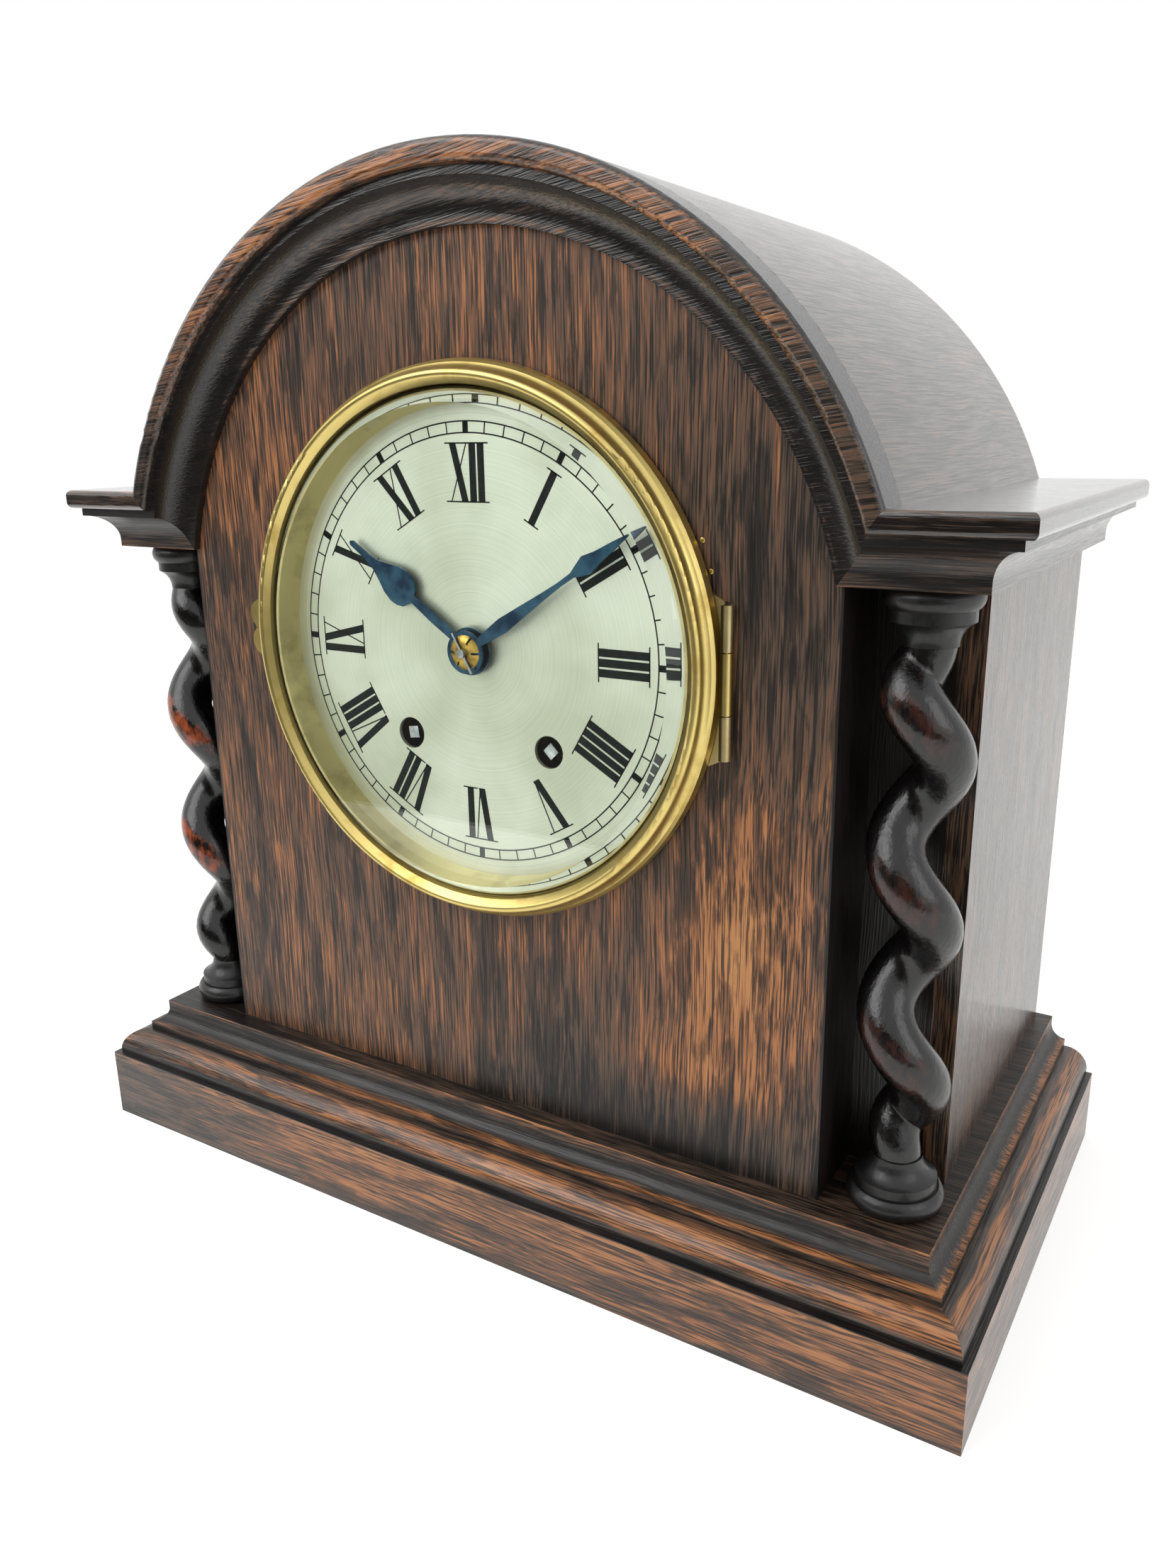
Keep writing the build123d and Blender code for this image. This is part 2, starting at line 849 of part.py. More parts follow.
# Arbor places: each pinion stands at mesh distance from the wheel that drives it
going_spot, strike_spot = winding_spots()
great_reach = mesh_distance(great_teeth, second_pinion_teeth, great_module)
second_reach = mesh_distance(second_teeth, centre_pinion_teeth, second_module)
second_spot = meeting_point(going_spot, great_reach, centre, second_reach)
pin_wheel_spot = (-second_spot[0], second_spot[1])
third_spot = toward(centre, third_bearing, mesh_distance(centre_teeth, third_pinion_teeth, centre_module))
escape_reach = mesh_distance(third_teeth, escape_pinion_teeth, third_module)
escape_spot = (0, third_spot[1] + math.sqrt(escape_reach**2 - third_spot[0] ** 2))
anchor_spot = (0, escape_spot[1] + anchor_rise)
motion_reach = mesh_distance(minute_wheel_teeth, cannon_teeth, motion_module)
minute_spot = toward(centre, minute_bearing, motion_reach)
hammer_spot = (-hammer_reach, dial_height + hammer_rise)

# Levels of the wheels between the plates
arbor_front = plate_inside + side_shake
arbor_rear = rear_inside - side_shake
second_level = plate_inside + second_offset
barrel_front = plate_inside + barrel_offset
great_level = barrel_front + barrel_length
centre_level = plate_inside + centre_offset
third_level = plate_inside + third_offset
escape_level = plate_inside + escape_offset
cannon_level = plate_front - cannon_setback
hour_level = cannon_level - hour_setback


def pivoted_arbor(spot):
    body = rod(spot, arbor_front, arbor_rear, arbor_radius)
    return body + rod(spot, plate_front, plate_rear, pivot_radius)


def wheel_at(spot, face, level, thickness):
    return slab(Pos(*spot) * face, level, level + thickness)


def lightened(face, radius):
    for spoke in range(4):
        hole = toward((0, 0), 45 + 90 * spoke, 0.58 * radius)
        face -= Pos(*hole) * Circle(0.27 * radius)
    return face


def motion_work():
    bearing = bearing_to(centre, minute_spot)
    pipe = rod(centre, washer_y, plate_front - side_shake, cannon_radius)
    pipe -= rod(centre, washer_y, plate_front - side_shake, arbor_radius + pivot_fit)
    cannon_bore = arbor_radius + pivot_fit
    cannon = pinion_face(cannon_teeth, motion_module, bearing, cannon_bore)
    save(pipe + wheel_at(centre, cannon, cannon_level, cannon_length), "cannon_pinion")
    bore = arbor_radius + pivot_fit
    wheel = wheel_face(minute_wheel_teeth, motion_module, bearing + 180, bore)
    leaves = pinion_face(minute_pinion_teeth, motion_module, bearing + 180, bore)
    minute_wheel = wheel_at(minute_spot, wheel, cannon_level + 0.6, wheel_thickness)
    minute_wheel += wheel_at(minute_spot, leaves, hour_level - 0.4, cannon_level + 1 - hour_level)
    save(minute_wheel, "minute_wheel")
    hour = wheel_face(hour_teeth, motion_module, bearing, cannon_radius + pivot_fit)
    sleeve_front = hour_hand_y - hand_thickness
    sleeve = Pos(*centre) * (Circle(hour_pipe) - Circle(cannon_radius + pivot_fit))
    sleeve = slab(sleeve, sleeve_front, hour_level + wheel_thickness)
    save(wheel_at(centre, hour, hour_level, wheel_thickness) + sleeve, "hour_wheel")


def going_train():
    to_second = bearing_to(going_spot, second_spot)
    drum = rod(going_spot, barrel_front, great_level, barrel_radius)
    great = wheel_face(great_teeth, great_module, to_second)
    barrel = drum + wheel_at(going_spot, great, great_level, great_thickness)
    barrel_rear = great_level + great_thickness
    bore = rod(going_spot, barrel_front, barrel_rear, winding_arbor_radius + pivot_fit)
    save(barrel - bore, "going_barrel")
    to_pin = bearing_to(strike_spot, pin_wheel_spot)
    strike = rod(strike_spot, barrel_front, great_level, barrel_radius)
    great = wheel_face(great_teeth, great_module, to_pin)
    strike += wheel_at(strike_spot, great, great_level, great_thickness)
    bore = rod(strike_spot, barrel_front, barrel_rear, winding_arbor_radius + pivot_fit)
    save(strike - bore, "strike_barrel")
    to_centre = bearing_to(second_spot, centre)
    second = pivoted_arbor(second_spot)
    disc = wheel_face(second_teeth, second_module, to_centre)
    disc = lightened(disc, second_module * second_teeth / 2)
    second += wheel_at(second_spot, disc, second_level, wheel_thickness)
    leaves = pinion_face(second_pinion_teeth, great_module, to_second + 180)
    second += wheel_at(second_spot, leaves, great_level - pinion_lead, great_pinion_length)
    save(second, "second_wheel")
    to_third = bearing_to(centre, third_spot)
    arbor = rod(centre, tip_y, plate_rear, arbor_radius) - taper_hole()
    leaves = pinion_face(centre_pinion_teeth, second_module, to_centre + 180)
    arbor += wheel_at(centre, leaves, second_level - pinion_lead, pinion_length)
    disc = lightened(wheel_face(centre_teeth, centre_module, to_third), centre_module * centre_teeth / 2)
    arbor += wheel_at(centre, disc, centre_level, wheel_thickness)
    save(arbor, "centre_arbor")
    to_escape = bearing_to(third_spot, escape_spot)
    third = pivoted_arbor(third_spot)
    leaves = pinion_face(third_pinion_teeth, centre_module, to_third + 180)
    third += wheel_at(third_spot, leaves, centre_level - pinion_lead, pinion_length)
    disc = lightened(wheel_face(third_teeth, third_module, to_escape), third_module * third_teeth / 2)
    third += wheel_at(third_spot, disc, third_level, wheel_thickness)
    save(third, "third_wheel")
    escape = rod(escape_spot, arbor_front, arbor_rear, escape_arbor_radius)
    escape += rod(escape_spot, plate_front, plate_rear, escape_pivot_radius)
    leaves = pinion_face(escape_pinion_teeth, third_module, to_escape + 180)
    escape += wheel_at(escape_spot, leaves, third_level - pinion_lead, pinion_length)
    saw = []
    for tooth in range(escape_teeth):
        lead = 360 / escape_teeth * tooth
        saw.append(toward((0, 0), lead, escape_radius))
        saw.append(toward((0, 0), lead + 90 / escape_teeth, escape_radius - 1.4))
    escape += wheel_at(escape_spot, lightened(polygon(saw), escape_radius - 1), escape_level, 1.0)
    save(escape, "escape_wheel")


def taper_hole():
    taper = Plane((0, pin_y, dial_height), x_dir=(0, 1, 0), z_dir=(-0.5, 0, 0.866))
    return taper * Cylinder(taper_radius + pivot_fit, 2 * minute_boss)


def winding_arbor(spot, square_angle, name):
    square_end = dial_y + square_recess
    square_length = plate_front - ratchet_gap - square_end
    square = Rot(0, 0, square_angle) * Rectangle(winding_square, winding_square)
    arbor = slab(Pos(*spot) * square, square_end, square_end + square_length)
    arbor += rod(spot, square_end + square_length, plate_rear, winding_arbor_radius)
    points = []
    for tooth in range(ratchet_teeth):
        lead = 360 / ratchet_teeth * tooth
        points.append(toward((0, 0), lead, ratchet_radius))
        points.append(toward((0, 0), lead + 80 / ratchet_teeth, ratchet_radius - 1.2))
    arbor += wheel_at(spot, polygon(points), plate_front - ratchet_gap, 1.4)
    save(arbor, name)


def strike_work():
    to_pin = bearing_to(strike_spot, pin_wheel_spot)
    pin_wheel = pivoted_arbor(pin_wheel_spot)
    pin_wheel += rod(pin_wheel_spot, second_level, second_level + wheel_thickness, pin_circle + 1.5)
    for pin in range(hammer_pins):
        spot = toward(pin_wheel_spot, 360 / hammer_pins * pin, pin_circle)
        pin_wheel += rod(spot, second_level, second_level + 3.0, 0.7)
    leaves = pinion_face(second_pinion_teeth, great_module, to_pin + 180)
    pin_wheel += wheel_at(pin_wheel_spot, leaves, great_level - pinion_lead, great_pinion_length)
    save(pin_wheel, "pin_wheel")


# Frame of the movement
def plates():
    low = dial_height - plate_below
    high = dial_height + plate_above
    shoulder = plate_width / 2
    arch_height = plate_width / 8
    spring = high - arch_height
    plate = outline(
        Polyline((-shoulder, spring), (-shoulder, low), (shoulder, low), (shoulder, spring)),
        ThreePointArc((shoulder, spring), (0, high), (-shoulder, spring)),
    )
    for spot in (going_spot, strike_spot):
        plate -= Pos(*spot) * Circle(winding_arbor_radius + pivot_fit)
    for spot in (second_spot, third_spot, pin_wheel_spot):
        plate -= Pos(*spot) * Circle(pivot_radius + pivot_fit)
    plate -= Pos(*escape_spot) * Circle(escape_pivot_radius + pivot_fit)
    for spot in (centre, hammer_spot):
        plate -= Pos(*spot) * Circle(arbor_radius + pivot_fit)
    anchor_hole = Pos(*anchor_spot) * Circle(pivot_radius + pivot_fit)
    front = slab(plate - anchor_hole, plate_front, plate_inside)
    front += rod(minute_spot, hour_level - stud_overhang, plate_front, arbor_radius)
    save(front, "front_plate")
    rear = slab(plate - Pos(*anchor_spot) * Circle(2.4), rear_inside, plate_rear)
    save(rear + suspension_cock(), "back_plate")
    pillar_x = shoulder - pillar_inset
    pillars = [
        rod((side * pillar_x, z), plate_inside, rear_inside, pillar_radius)
        for side in (-1, 1)
        for z in (low + pillar_inset, spring - pillar_inset)
    ]
    save(Compound(pillars), "plate_pillars")
    brackets = []
    for side in (-1, 1):
        for z in (low + bracket_low, high - bracket_high):
            ends = sorted((side * (shoulder - bracket_lap), side * bracket_reach))
            foot = sorted((side * (bracket_reach - bracket_width), side * bracket_reach))
            edges = (z - bracket_width / 2, z + bracket_width / 2)
            strap = block(*ends, plate_front - bracket_thickness, plate_front, *edges)
            brackets.append(strap + block(*foot, panel_back, plate_front - bracket_thickness, *edges))
    save(Compound(brackets), "movement_brackets")


pendulum_y = plate_rear + pendulum_behind_plate
crutch_y = plate_rear + 2.0
cock_y = plate_rear + 6.0


def suspension_cock():
    x, z = anchor_spot
    cock = block(x - 14, x + 14, cock_y, cock_y + 2, z - 4, z + 7)
    for side in (-1, 1):
        foot = sorted((x + side * 10, x + side * 14))
        cock += block(*foot, plate_rear, cock_y, z - 4, z + 4)
    cock += block(x - 4, x + 4, cock_y, pendulum_y + spring_width / 2 + 1, z - 1.5, z + 7)
    slot_half = spring_thickness / 2 + 0.3
    slot_front = pendulum_y - spring_width / 2 - 0.3
    cock -= block(x - slot_half, x + slot_half, slot_front, pendulum_y + spring_width, z - 1.5, z + 1.0)
    return cock - rod(anchor_spot, plate_rear, cock_y + 1, pivot_radius + pivot_fit)


# Anchor with its crutch, and the pendulum
def anchor():
    x, z = anchor_spot
    reach = escape_radius + pallet_clearance
    tangent = math.degrees(math.acos(escape_radius / anchor_rise))
    right_tip = toward(escape_spot, 90 - tangent, reach)
    outer = toward(escape_spot, 90 - tangent - 4, reach + 2.6)
    inner = toward(escape_spot, 90 - tangent + 12, reach + 0.6)
    right_side = [(x, z + 3), outer, right_tip, inner, (x, z - 2)]
    left_side = [(-px, pz) for px, pz in reversed(right_side[1:-1])]
    body = slab(polygon(right_side + left_side), escape_level, escape_level + 1.6)
    body += rod(anchor_spot, arbor_front, cock_y - side_shake, arbor_radius)
    body += rod(anchor_spot, plate_front, cock_y + 0.8, pivot_radius)
    half = crutch_width / 2
    low = z - crutch_length
    body += block(x - half, x + half, crutch_y, crutch_y + 1.2, low, z + 2)
    gap = rod_radius + 0.35
    body += block(x - gap - 1.4, x + gap + 1.4, crutch_y, crutch_y + 1.2, low, low + 3)
    for side in (-1, 1):
        prong = sorted((x + side * gap, x + side * (gap + 1.4)))
        body += block(*prong, crutch_y, pendulum_y + 2, low, low + 3)
    save(body, "pallet_anchor")


def pendulum():
    x, z = anchor_spot
    bob_z = z - pendulum_length
    rod_top = z - spring_length
    foot = bob_z - bob_radius - nut_height - rod_tail
    shaft = upright(Pos(x, pendulum_y) * Circle(rod_radius), foot, rod_top)
    clamp_x = (x - clamp_width / 2, x + clamp_width / 2)
    clamp_y = (pendulum_y - clamp_depth / 2, pendulum_y + clamp_depth / 2)
    shaft += block(*clamp_x, *clamp_y, rod_top - clamp_height, rod_top)
    strip_half = spring_thickness / 2
    strip_y = pendulum_y - spring_width / 2
    shaft += block(x - strip_half, x + strip_half, strip_y, strip_y + spring_width, rod_top, z + spring_hold)
    save(shaft, "pendulum_rod")
    rim = 0.8
    belly = bob_thickness / 2
    lens = outline(
        Line((0, pendulum_y - belly), (0, pendulum_y + belly)),
        ThreePointArc(
            (0, pendulum_y + belly),
            (0.55 * bob_radius, pendulum_y + 0.75 * belly),
            (bob_radius, pendulum_y + rim),
        ),
        Line((bob_radius, pendulum_y + rim), (bob_radius, pendulum_y - rim)),
        ThreePointArc(
            (bob_radius, pendulum_y - rim),
            (0.55 * bob_radius, pendulum_y - 0.75 * belly),
            (0, pendulum_y - belly),
        ),
    )
    bore = Pos(x, pendulum_y) * Circle(rod_radius + pivot_fit)
    bore = upright(bore, bob_z - bob_radius, bob_z + bob_radius)
    save(turned(lens, (x, bob_z)) - bore, "pendulum_bob")
    nut_top = bob_z - bob_radius
    nut = Circle(nut_radius) - Circle(rod_radius + pivot_fit)
    save(upright(Pos(x, pendulum_y) * nut, nut_top - nut_height, nut_top), "rating_nut")


# Coiled gong on its stand, and the hammer
gong_spot = (0, platform_top + gong_height)
gong_y = plate_rear + gong_behind_plate
gong_start = gong_boss + gong_wire
gong_outside = gong_start + gong_turns * gong_pitch


def zip_ahead(points, ahead):
    for place, point in enumerate(points):
        for other in points[place + ahead :]:
            yield point, other


def gong():
    arcs = []
    radius = gong_start
    spot = (gong_spot[0] + radius, gong_spot[1])
    for half_turn in range(2 * gong_turns):
        side = 1 if half_turn % 2 == 0 else -1
        radius += gong_pitch / 2
        middle = (spot[0] - side * radius, spot[1] + side * radius)
        end = (spot[0] - side * 2 * radius, spot[1])
        arcs.append(ThreePointArc(spot, middle, end))
        spot = end
    path = Wire([Plane.XZ.offset(-gong_y) * curve for edge in arcs for curve in edge.edges()])
    start = Plane(path.position_at(0), z_dir=path.tangent_at(0))
    save(sweep(start * Circle(gong_wire), path=path), "gong_coil")
    count = 200 * gong_turns
    points = [tuple(path.position_at(step / count)) for step in range(count + 1)]
    ahead = math.ceil(math.pi * gong_start / path.length * count)
    least = min(math.dist(*pair) for pair in zip_ahead(points, ahead)) - 2 * gong_wire
    print("gong coil, least gap to itself:", round(least, 2), "mm")
    x, z = gong_spot
    post_front = gong_y + gong_post_gap
    post_back = post_front + gong_post_depth
    foot_front = gong_y - gong_post_gap
    foot_back = foot_front + gong_foot_depth
    post_x = (x - gong_post_width / 2, x + gong_post_width / 2)
    foot_x = (x - gong_foot_width / 2, x + gong_foot_width / 2)
    stand = rod(gong_spot, gong_y - gong_wire, post_back, gong_boss)
    stand += block(*post_x, post_front, post_back, platform_top, z)
    stand += block(*foot_x, foot_front, foot_back, platform_top, platform_top + gong_foot_height)
    save(stand, "gong_stand")


def hammer():
    x, z = hammer_spot
    coil_edge = gong_spot[0] - gong_outside - gong_wire
    head_face = coil_edge - hammer_gap
    head_x = head_face - hammer_head_length / 2
    head_z = gong_spot[1]
    arbor = rod(hammer_spot, plate_front, gong_y + 1.2, arbor_radius)
    arm = outline(
        Polyline((x - 1, z), (head_x - 1, head_z), (head_x + 1, head_z), (x + 1, z), close=True)
    )
    arbor += slab(arm, gong_y - 1.2, gong_y + 1.2)
    head = Pos(head_x, gong_y, head_z) * Rot(0, 90, 0) * Cylinder(hammer_head_radius, hammer_head_length)
    arbor += head
    to_pins = bearing_to(hammer_spot, pin_wheel_spot)
    tail_end = math.dist(hammer_spot, pin_wheel_spot) - pin_circle - 2
    tail = Rot(0, 0, to_pins) * (Pos(tail_end / 2, 0) * Rectangle(tail_end, 2.4))
    arbor += slab(Pos(*hammer_spot) * tail, second_level + 1.4, second_level + 2.8)
    save(arbor, "hammer")


# Back of the case: fixed frame, arched door, hinges and turn catch
def door_face(gap):
    half = door_width / 2 - gap
    sill = platform_top + door_sill + gap
    spring = platform_top + door_springing
    return outline(
        Polyline((-half, spring), (-half, sill), (half, sill), (half, spring)),
        ThreePointArc((half, spring), (0, spring + half), (-half, spring)),
    )


def back():
    inner_side = case_half - side_thickness
    roof_seat = math.sqrt(roof_inside**2 - (shelf_top - dial_height) ** 2)
    shelf_inner = max(panel_half, roof_seat - shelf_bearing) + dial_fit
    wall_height = shelf_bottom - platform_top
    wall = Pos(0, platform_top + wall_height / 2) * Rectangle(2 * inner_side, wall_height)
    wall += Pos(0, shelf_bottom + shelf_thickness / 2) * Rectangle(2 * shelf_inner, shelf_thickness)
    wall += above_shelf(roof_inside)
    save(slab(wall - door_face(0), inner_back, back_y), "back_frame")
    save(slab(door_face(door_fit), inner_back, back_y), "back_door")
    axis_x = door_width / 2 - door_fit / 2
    axis_y = back_y + door_knuckle + 0.2
    frame_leaves = []
    door_leaves = []
    for z in (platform_top + door_sill + 30, platform_top + door_springing - 10):
        low = z - door_leaf_height / 2
        high = z + door_leaf_height / 2
        pin = upright(Pos(axis_x, axis_y) * Circle(0.5), low, high)
        barrel = Circle(door_knuckle) - Circle(0.5 + pivot_fit)
        third = door_leaf_height / 3
        frame_leaf = block(axis_x + door_knuckle, axis_x + door_leaf, back_y, back_y + sheet_brass, low, high)
        door_side = block(axis_x - door_leaf, axis_x - door_knuckle, back_y, back_y + sheet_brass, low, high)
        fixed = frame_leaf + pin
        for z0 in (low, high - third):
            end = block(axis_x, axis_x + door_leaf, back_y, back_y + sheet_brass, z0, z0 + third)
            ring = upright(Pos(axis_x, axis_y) * Circle(door_knuckle), z0, z0 + third)
            fixed += end + ring
        mid_low = low + third + knuckle_gap
        mid_high = high - third - knuckle_gap
        middle = upright(Pos(axis_x, axis_y) * barrel, mid_low, mid_high)
        tongue = block(axis_x - door_leaf, axis_x, back_y, back_y + sheet_brass, mid_low, mid_high)
        tongue -= upright(Pos(axis_x, axis_y) * Circle(0.5 + pivot_fit), mid_low, mid_high)
        frame_leaves.append(fixed)
        door_leaves.append(door_side + tongue + middle)
    save(Compound(frame_leaves), "back_hinge_frame_leaves")
    save(Compound(door_leaves), "back_hinge_door_leaves")
    catch_x = -door_width / 2 - catch_width / 2 - 3
    catch_z = platform_top + door_springing - 30
    button = Rectangle(catch_width, catch_length - catch_width)
    for end in (-1, 1):
        button += Pos(0, end * (catch_length - catch_width) / 2) * Circle(catch_width / 2)
    catch = slab(Pos(catch_x, catch_z) * button, back_y + 0.2, back_y + 1.4)
    catch += rod((catch_x, catch_z), back_y + 0.2, back_y + 2.2, 2.2)
    save(catch, "door_catch")


plinth()
platform()
walls()
front_panel()
arch_moulding()
shoulders()
roof()
column(column_spacing / 2, right_twist_start, "right_column")
column(-column_spacing / 2, left_twist_start, "left_column")
dial()
surround()
bezel()
hands()
motion_work()
going_train()
winding_arbor(going_spot, 45, "going_winding_arbor")
winding_arbor(strike_spot, 8, "strike_winding_arbor")
strike_work()
plates()
anchor()
pendulum()
gong()
hammer()
back()
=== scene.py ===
"""Finishes, dial work, small fittings and photo stage for an arched oak mantel clock."""

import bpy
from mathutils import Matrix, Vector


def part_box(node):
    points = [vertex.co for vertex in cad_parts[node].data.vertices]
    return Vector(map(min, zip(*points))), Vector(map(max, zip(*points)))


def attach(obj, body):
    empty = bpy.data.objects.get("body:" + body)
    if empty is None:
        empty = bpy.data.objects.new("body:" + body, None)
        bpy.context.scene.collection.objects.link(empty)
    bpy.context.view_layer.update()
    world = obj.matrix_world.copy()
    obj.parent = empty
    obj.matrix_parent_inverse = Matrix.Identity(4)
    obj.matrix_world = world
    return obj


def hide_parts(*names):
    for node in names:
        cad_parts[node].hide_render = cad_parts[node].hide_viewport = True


bl_info = {
    "name": "Arched Oak Mantel Clock",
    "version": (1, 0, 0),
    "blender": (4, 5, 0),
    "location": "3D View > Sidebar > Clock",
    "description": "Finishes the packed clock and sets it on its photo stage",
    "category": "Object",
}

import math

import bpy
import bmesh
from mathutils import Matrix, Vector

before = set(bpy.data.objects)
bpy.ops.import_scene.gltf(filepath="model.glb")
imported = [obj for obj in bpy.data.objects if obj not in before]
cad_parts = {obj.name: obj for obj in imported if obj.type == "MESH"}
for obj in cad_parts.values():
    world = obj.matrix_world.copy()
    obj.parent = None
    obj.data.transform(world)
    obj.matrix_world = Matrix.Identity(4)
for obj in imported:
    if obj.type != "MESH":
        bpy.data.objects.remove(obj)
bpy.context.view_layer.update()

MM = 0.001

# Points of a mesh nearer than this are one
MERGE = 0.01 * MM


def linear(code):
    """Turns an sRGB hex colour into linear RGBA."""
    parts = [int(code[place : place + 2], 16) / 255 for place in (1, 3, 5)]
    straight = [part / 12.92 if part <= 0.04045 else ((part + 0.055) / 1.055) ** 2.4 for part in parts]
    return (*straight, 1.0)


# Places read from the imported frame
dial_low, dial_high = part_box("dial_plate")
dial_centre = Vector((0, dial_low.y, (dial_low.z + dial_high.z) / 2))
dial_axis = Vector((0, 0, dial_centre.z))
panel_low, panel_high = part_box("front_panel")
arch_low, arch_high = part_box("arch_moulding")
arch_radius = arch_high.z - dial_centre.z
hinge_low, hinge_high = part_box("bezel_hinge_leaf")


def colour_property(name, description, code):
    return bpy.props.FloatVectorProperty(
        name=name, description=description, subtype="COLOR", size=4, min=0, max=1, default=linear(code)
    )


def length_property(name, description, millimetres):
    return bpy.props.FloatProperty(
        name=name, description=description, unit="LENGTH", precision=5, default=millimetres * MM
    )


class ClockFinishes(bpy.types.PropertyGroup):
    """Colours of the woods, metals and paint."""

    oak_pore: colour_property("Oak pores", "Black stain in the open pores", "#1d1512")
    oak_dark: colour_property("Oak dark", "Oak where the stain is whole", "#5c493b")
    oak_red: colour_property("Oak red", "Oak where the stain is thin", "#7d553b")
    oak_orange: colour_property("Oak orange", "Oak where the stain is rubbed off", "#b37548")
    oak_light: colour_property("Oak light", "Brightest flecks of the bare oak", "#c88c57")
    column_dark: colour_property("Column dark", "Old polish on the columns", "#0c0a0a")
    left_worn: colour_property("Left column worn", "Wood where the polish is rubbed off", "#a8502a")
    right_worn: colour_property("Right column worn", "Wood under thin polish", "#3c211a")
    brass: colour_property("Brass", "Polished bezel brass", "#dfc97e")
    brass_old: colour_property("Brass tarnish", "Tarnish in the corners of the brass", "#b08c40")
    movement_brass: colour_property("Movement brass", "Plates and wheels", "#c9a655")
    dial_silver: colour_property("Dial silver", "Silvered dial", "#e2e5d5")
    dial_aged: colour_property("Dial aged", "Yellowed patches of the silvering", "#c8ccb7")
    wax: colour_property("Dial wax", "Black wax in the engraved numerals", "#0b1211")
    blue_steel: colour_property("Blued steel", "Heat-blued hands", "#36566a")
    steel: colour_property("Steel", "Polished steel arbors", "#c3c6c8")
    iron: colour_property("Cast iron", "Gong stand", "#2b2b2d")


class ClockDialMarks(bpy.types.PropertyGroup):
    """Sizes of the numerals and the minute track."""

    numeral_inner: length_property("Numeral feet", "Radius of the numerals' feet", 42.0)
    numeral_outer: length_property("Numeral heads", "Radius of the numerals' heads", 58.4)
    thick_stroke: length_property("Thick stroke", "Width of the broad strokes", 2.3)
    thin_stroke: length_property("Thin stroke", "Width of the hair strokes", 0.42)
    stroke_gap: length_property("Stroke gap", "Gap between neighbouring strokes", 0.55)
    letter_width: length_property("Letter width", "Width of an X or a V", 6.3)
    serif_reach: length_property("Serif reach", "Overhang of the serif lines", 1.5)
    track_inner: length_property("Track inside", "Radius of the inner minute circle", 61.0)
    track_outer: length_property("Track outside", "Radius of the outer minute circle", 64.1)
    track_line: length_property("Track line", "Width of the minute lines", 0.42)
    hour_bar: length_property("Hour bar", "Width of the five-minute bars", 1.9)
    paint: length_property("Wax height", "Height of the wax above the dial", 0.03)


class ClockColumns(bpy.types.PropertyGroup):
    """Sizes of the rope-like strand that winds up a column."""

    strand: length_property("Strand", "Radius of the round strand", 7.7)
    throw: length_property("Throw", "Distance of the strand's middle from the axis", 5.3)
    pitch: length_property("Pitch", "Height of one turn", 45.2)
    fade: length_property("Fade", "Height over which the strand grows out of the neck", 15.0)
    neck: length_property("Neck", "Radius of the strand's ends inside the necks", 6.5)
    foot: length_property("Foot", "Height of the turned foot with its neck", 15.0)
    cap: length_property("Cap", "Height of the turned cap with its neck", 14.6)
    sink: length_property("Sink", "How far the strand runs into the necks", 1.0)
    left_start: bpy.props.FloatProperty(
        name="Left start",
        description="Direction of the left strand at half height",
        subtype="ANGLE",
        default=math.radians(91.9),
    )
    right_start: bpy.props.FloatProperty(
        name="Right start",
        description="Direction of the right strand at half height",
        subtype="ANGLE",
        default=math.radians(-20.0),
    )


class ClockFittings(bpy.types.PropertyGroup):
    """Sizes of the screws, nuts and tacks."""

    screw_head: length_property("Screw head", "Radius of a screw's head", 1.7)
    screw_rise: length_property("Screw rise", "Height of a screw's head", 0.5)
    screw_slot: length_property("Screw slot", "Width of a screw's slot", 0.5)
    leaf_height: length_property("Hinge leaf", "Height of one back hinge", 24.0)
    leaf_sheet: length_property("Hinge sheet", "Thickness of a back hinge leaf", 0.8)
    screw_inset: length_property("Screw inset", "From a leaf's free edge to its screws", 4.5)
    pillar: length_property("Pillar", "Radius of a movement pillar", 3.0)
    plate: length_property("Plate", "Thickness of a movement plate", 2.0)
    nut: length_property("Nut", "Radius of a pillar nut over its corners", 3.4)
    nut_height: length_property("Nut height", "Height of a pillar nut", 2.4)
    tack: length_property("Tack", "Radius of a tack's head", 0.8)
    gong_foot: length_property("Gong foot", "Height of the gong stand's foot", 5.0)


class ClockPhotoStage(bpy.types.PropertyGroup):
    """Camera, lamps and floor."""

    camera_place: bpy.props.FloatVectorProperty(
        name="Camera place",
        description="Where the photograph was taken from",
        subtype="TRANSLATION",
        unit="LENGTH",
        default=(0.211516, -0.340363, 0.251667),
    )
    camera_turn: bpy.props.FloatVectorProperty(
        name="Camera turn",
        description="Direction of the photograph",
        subtype="EULER",
        default=[math.radians(angle) for angle in (73.4724, 0.8114, 31.4817)],
    )
    camera_lens: bpy.props.FloatProperty(
        name="Lens", description="Focal length on a frame 36 mm high", default=27.768
    )
    key_power: bpy.props.FloatProperty(
        name="Key lamp", description="Soft lamp at the front left", unit="POWER", default=13.0
    )
    fill_power: bpy.props.FloatProperty(
        name="Fill lamp", description="Soft lamp at the right", unit="POWER", default=5.0
    )
    sky_light: bpy.props.FloatProperty(
        name="Room light", description="Even light from the white room", default=0.5
    )
    floor_lift: bpy.props.FloatProperty(
        name="Floor lift", description="Extra white of the floor in the picture", default=0.6
    )
    card_colour: colour_property("Card", "Dark card that the gloss and the glass see", "#4a4642")
    floor_colour: colour_property("Floor", "White sweep under the clock", "#f4f4f2")


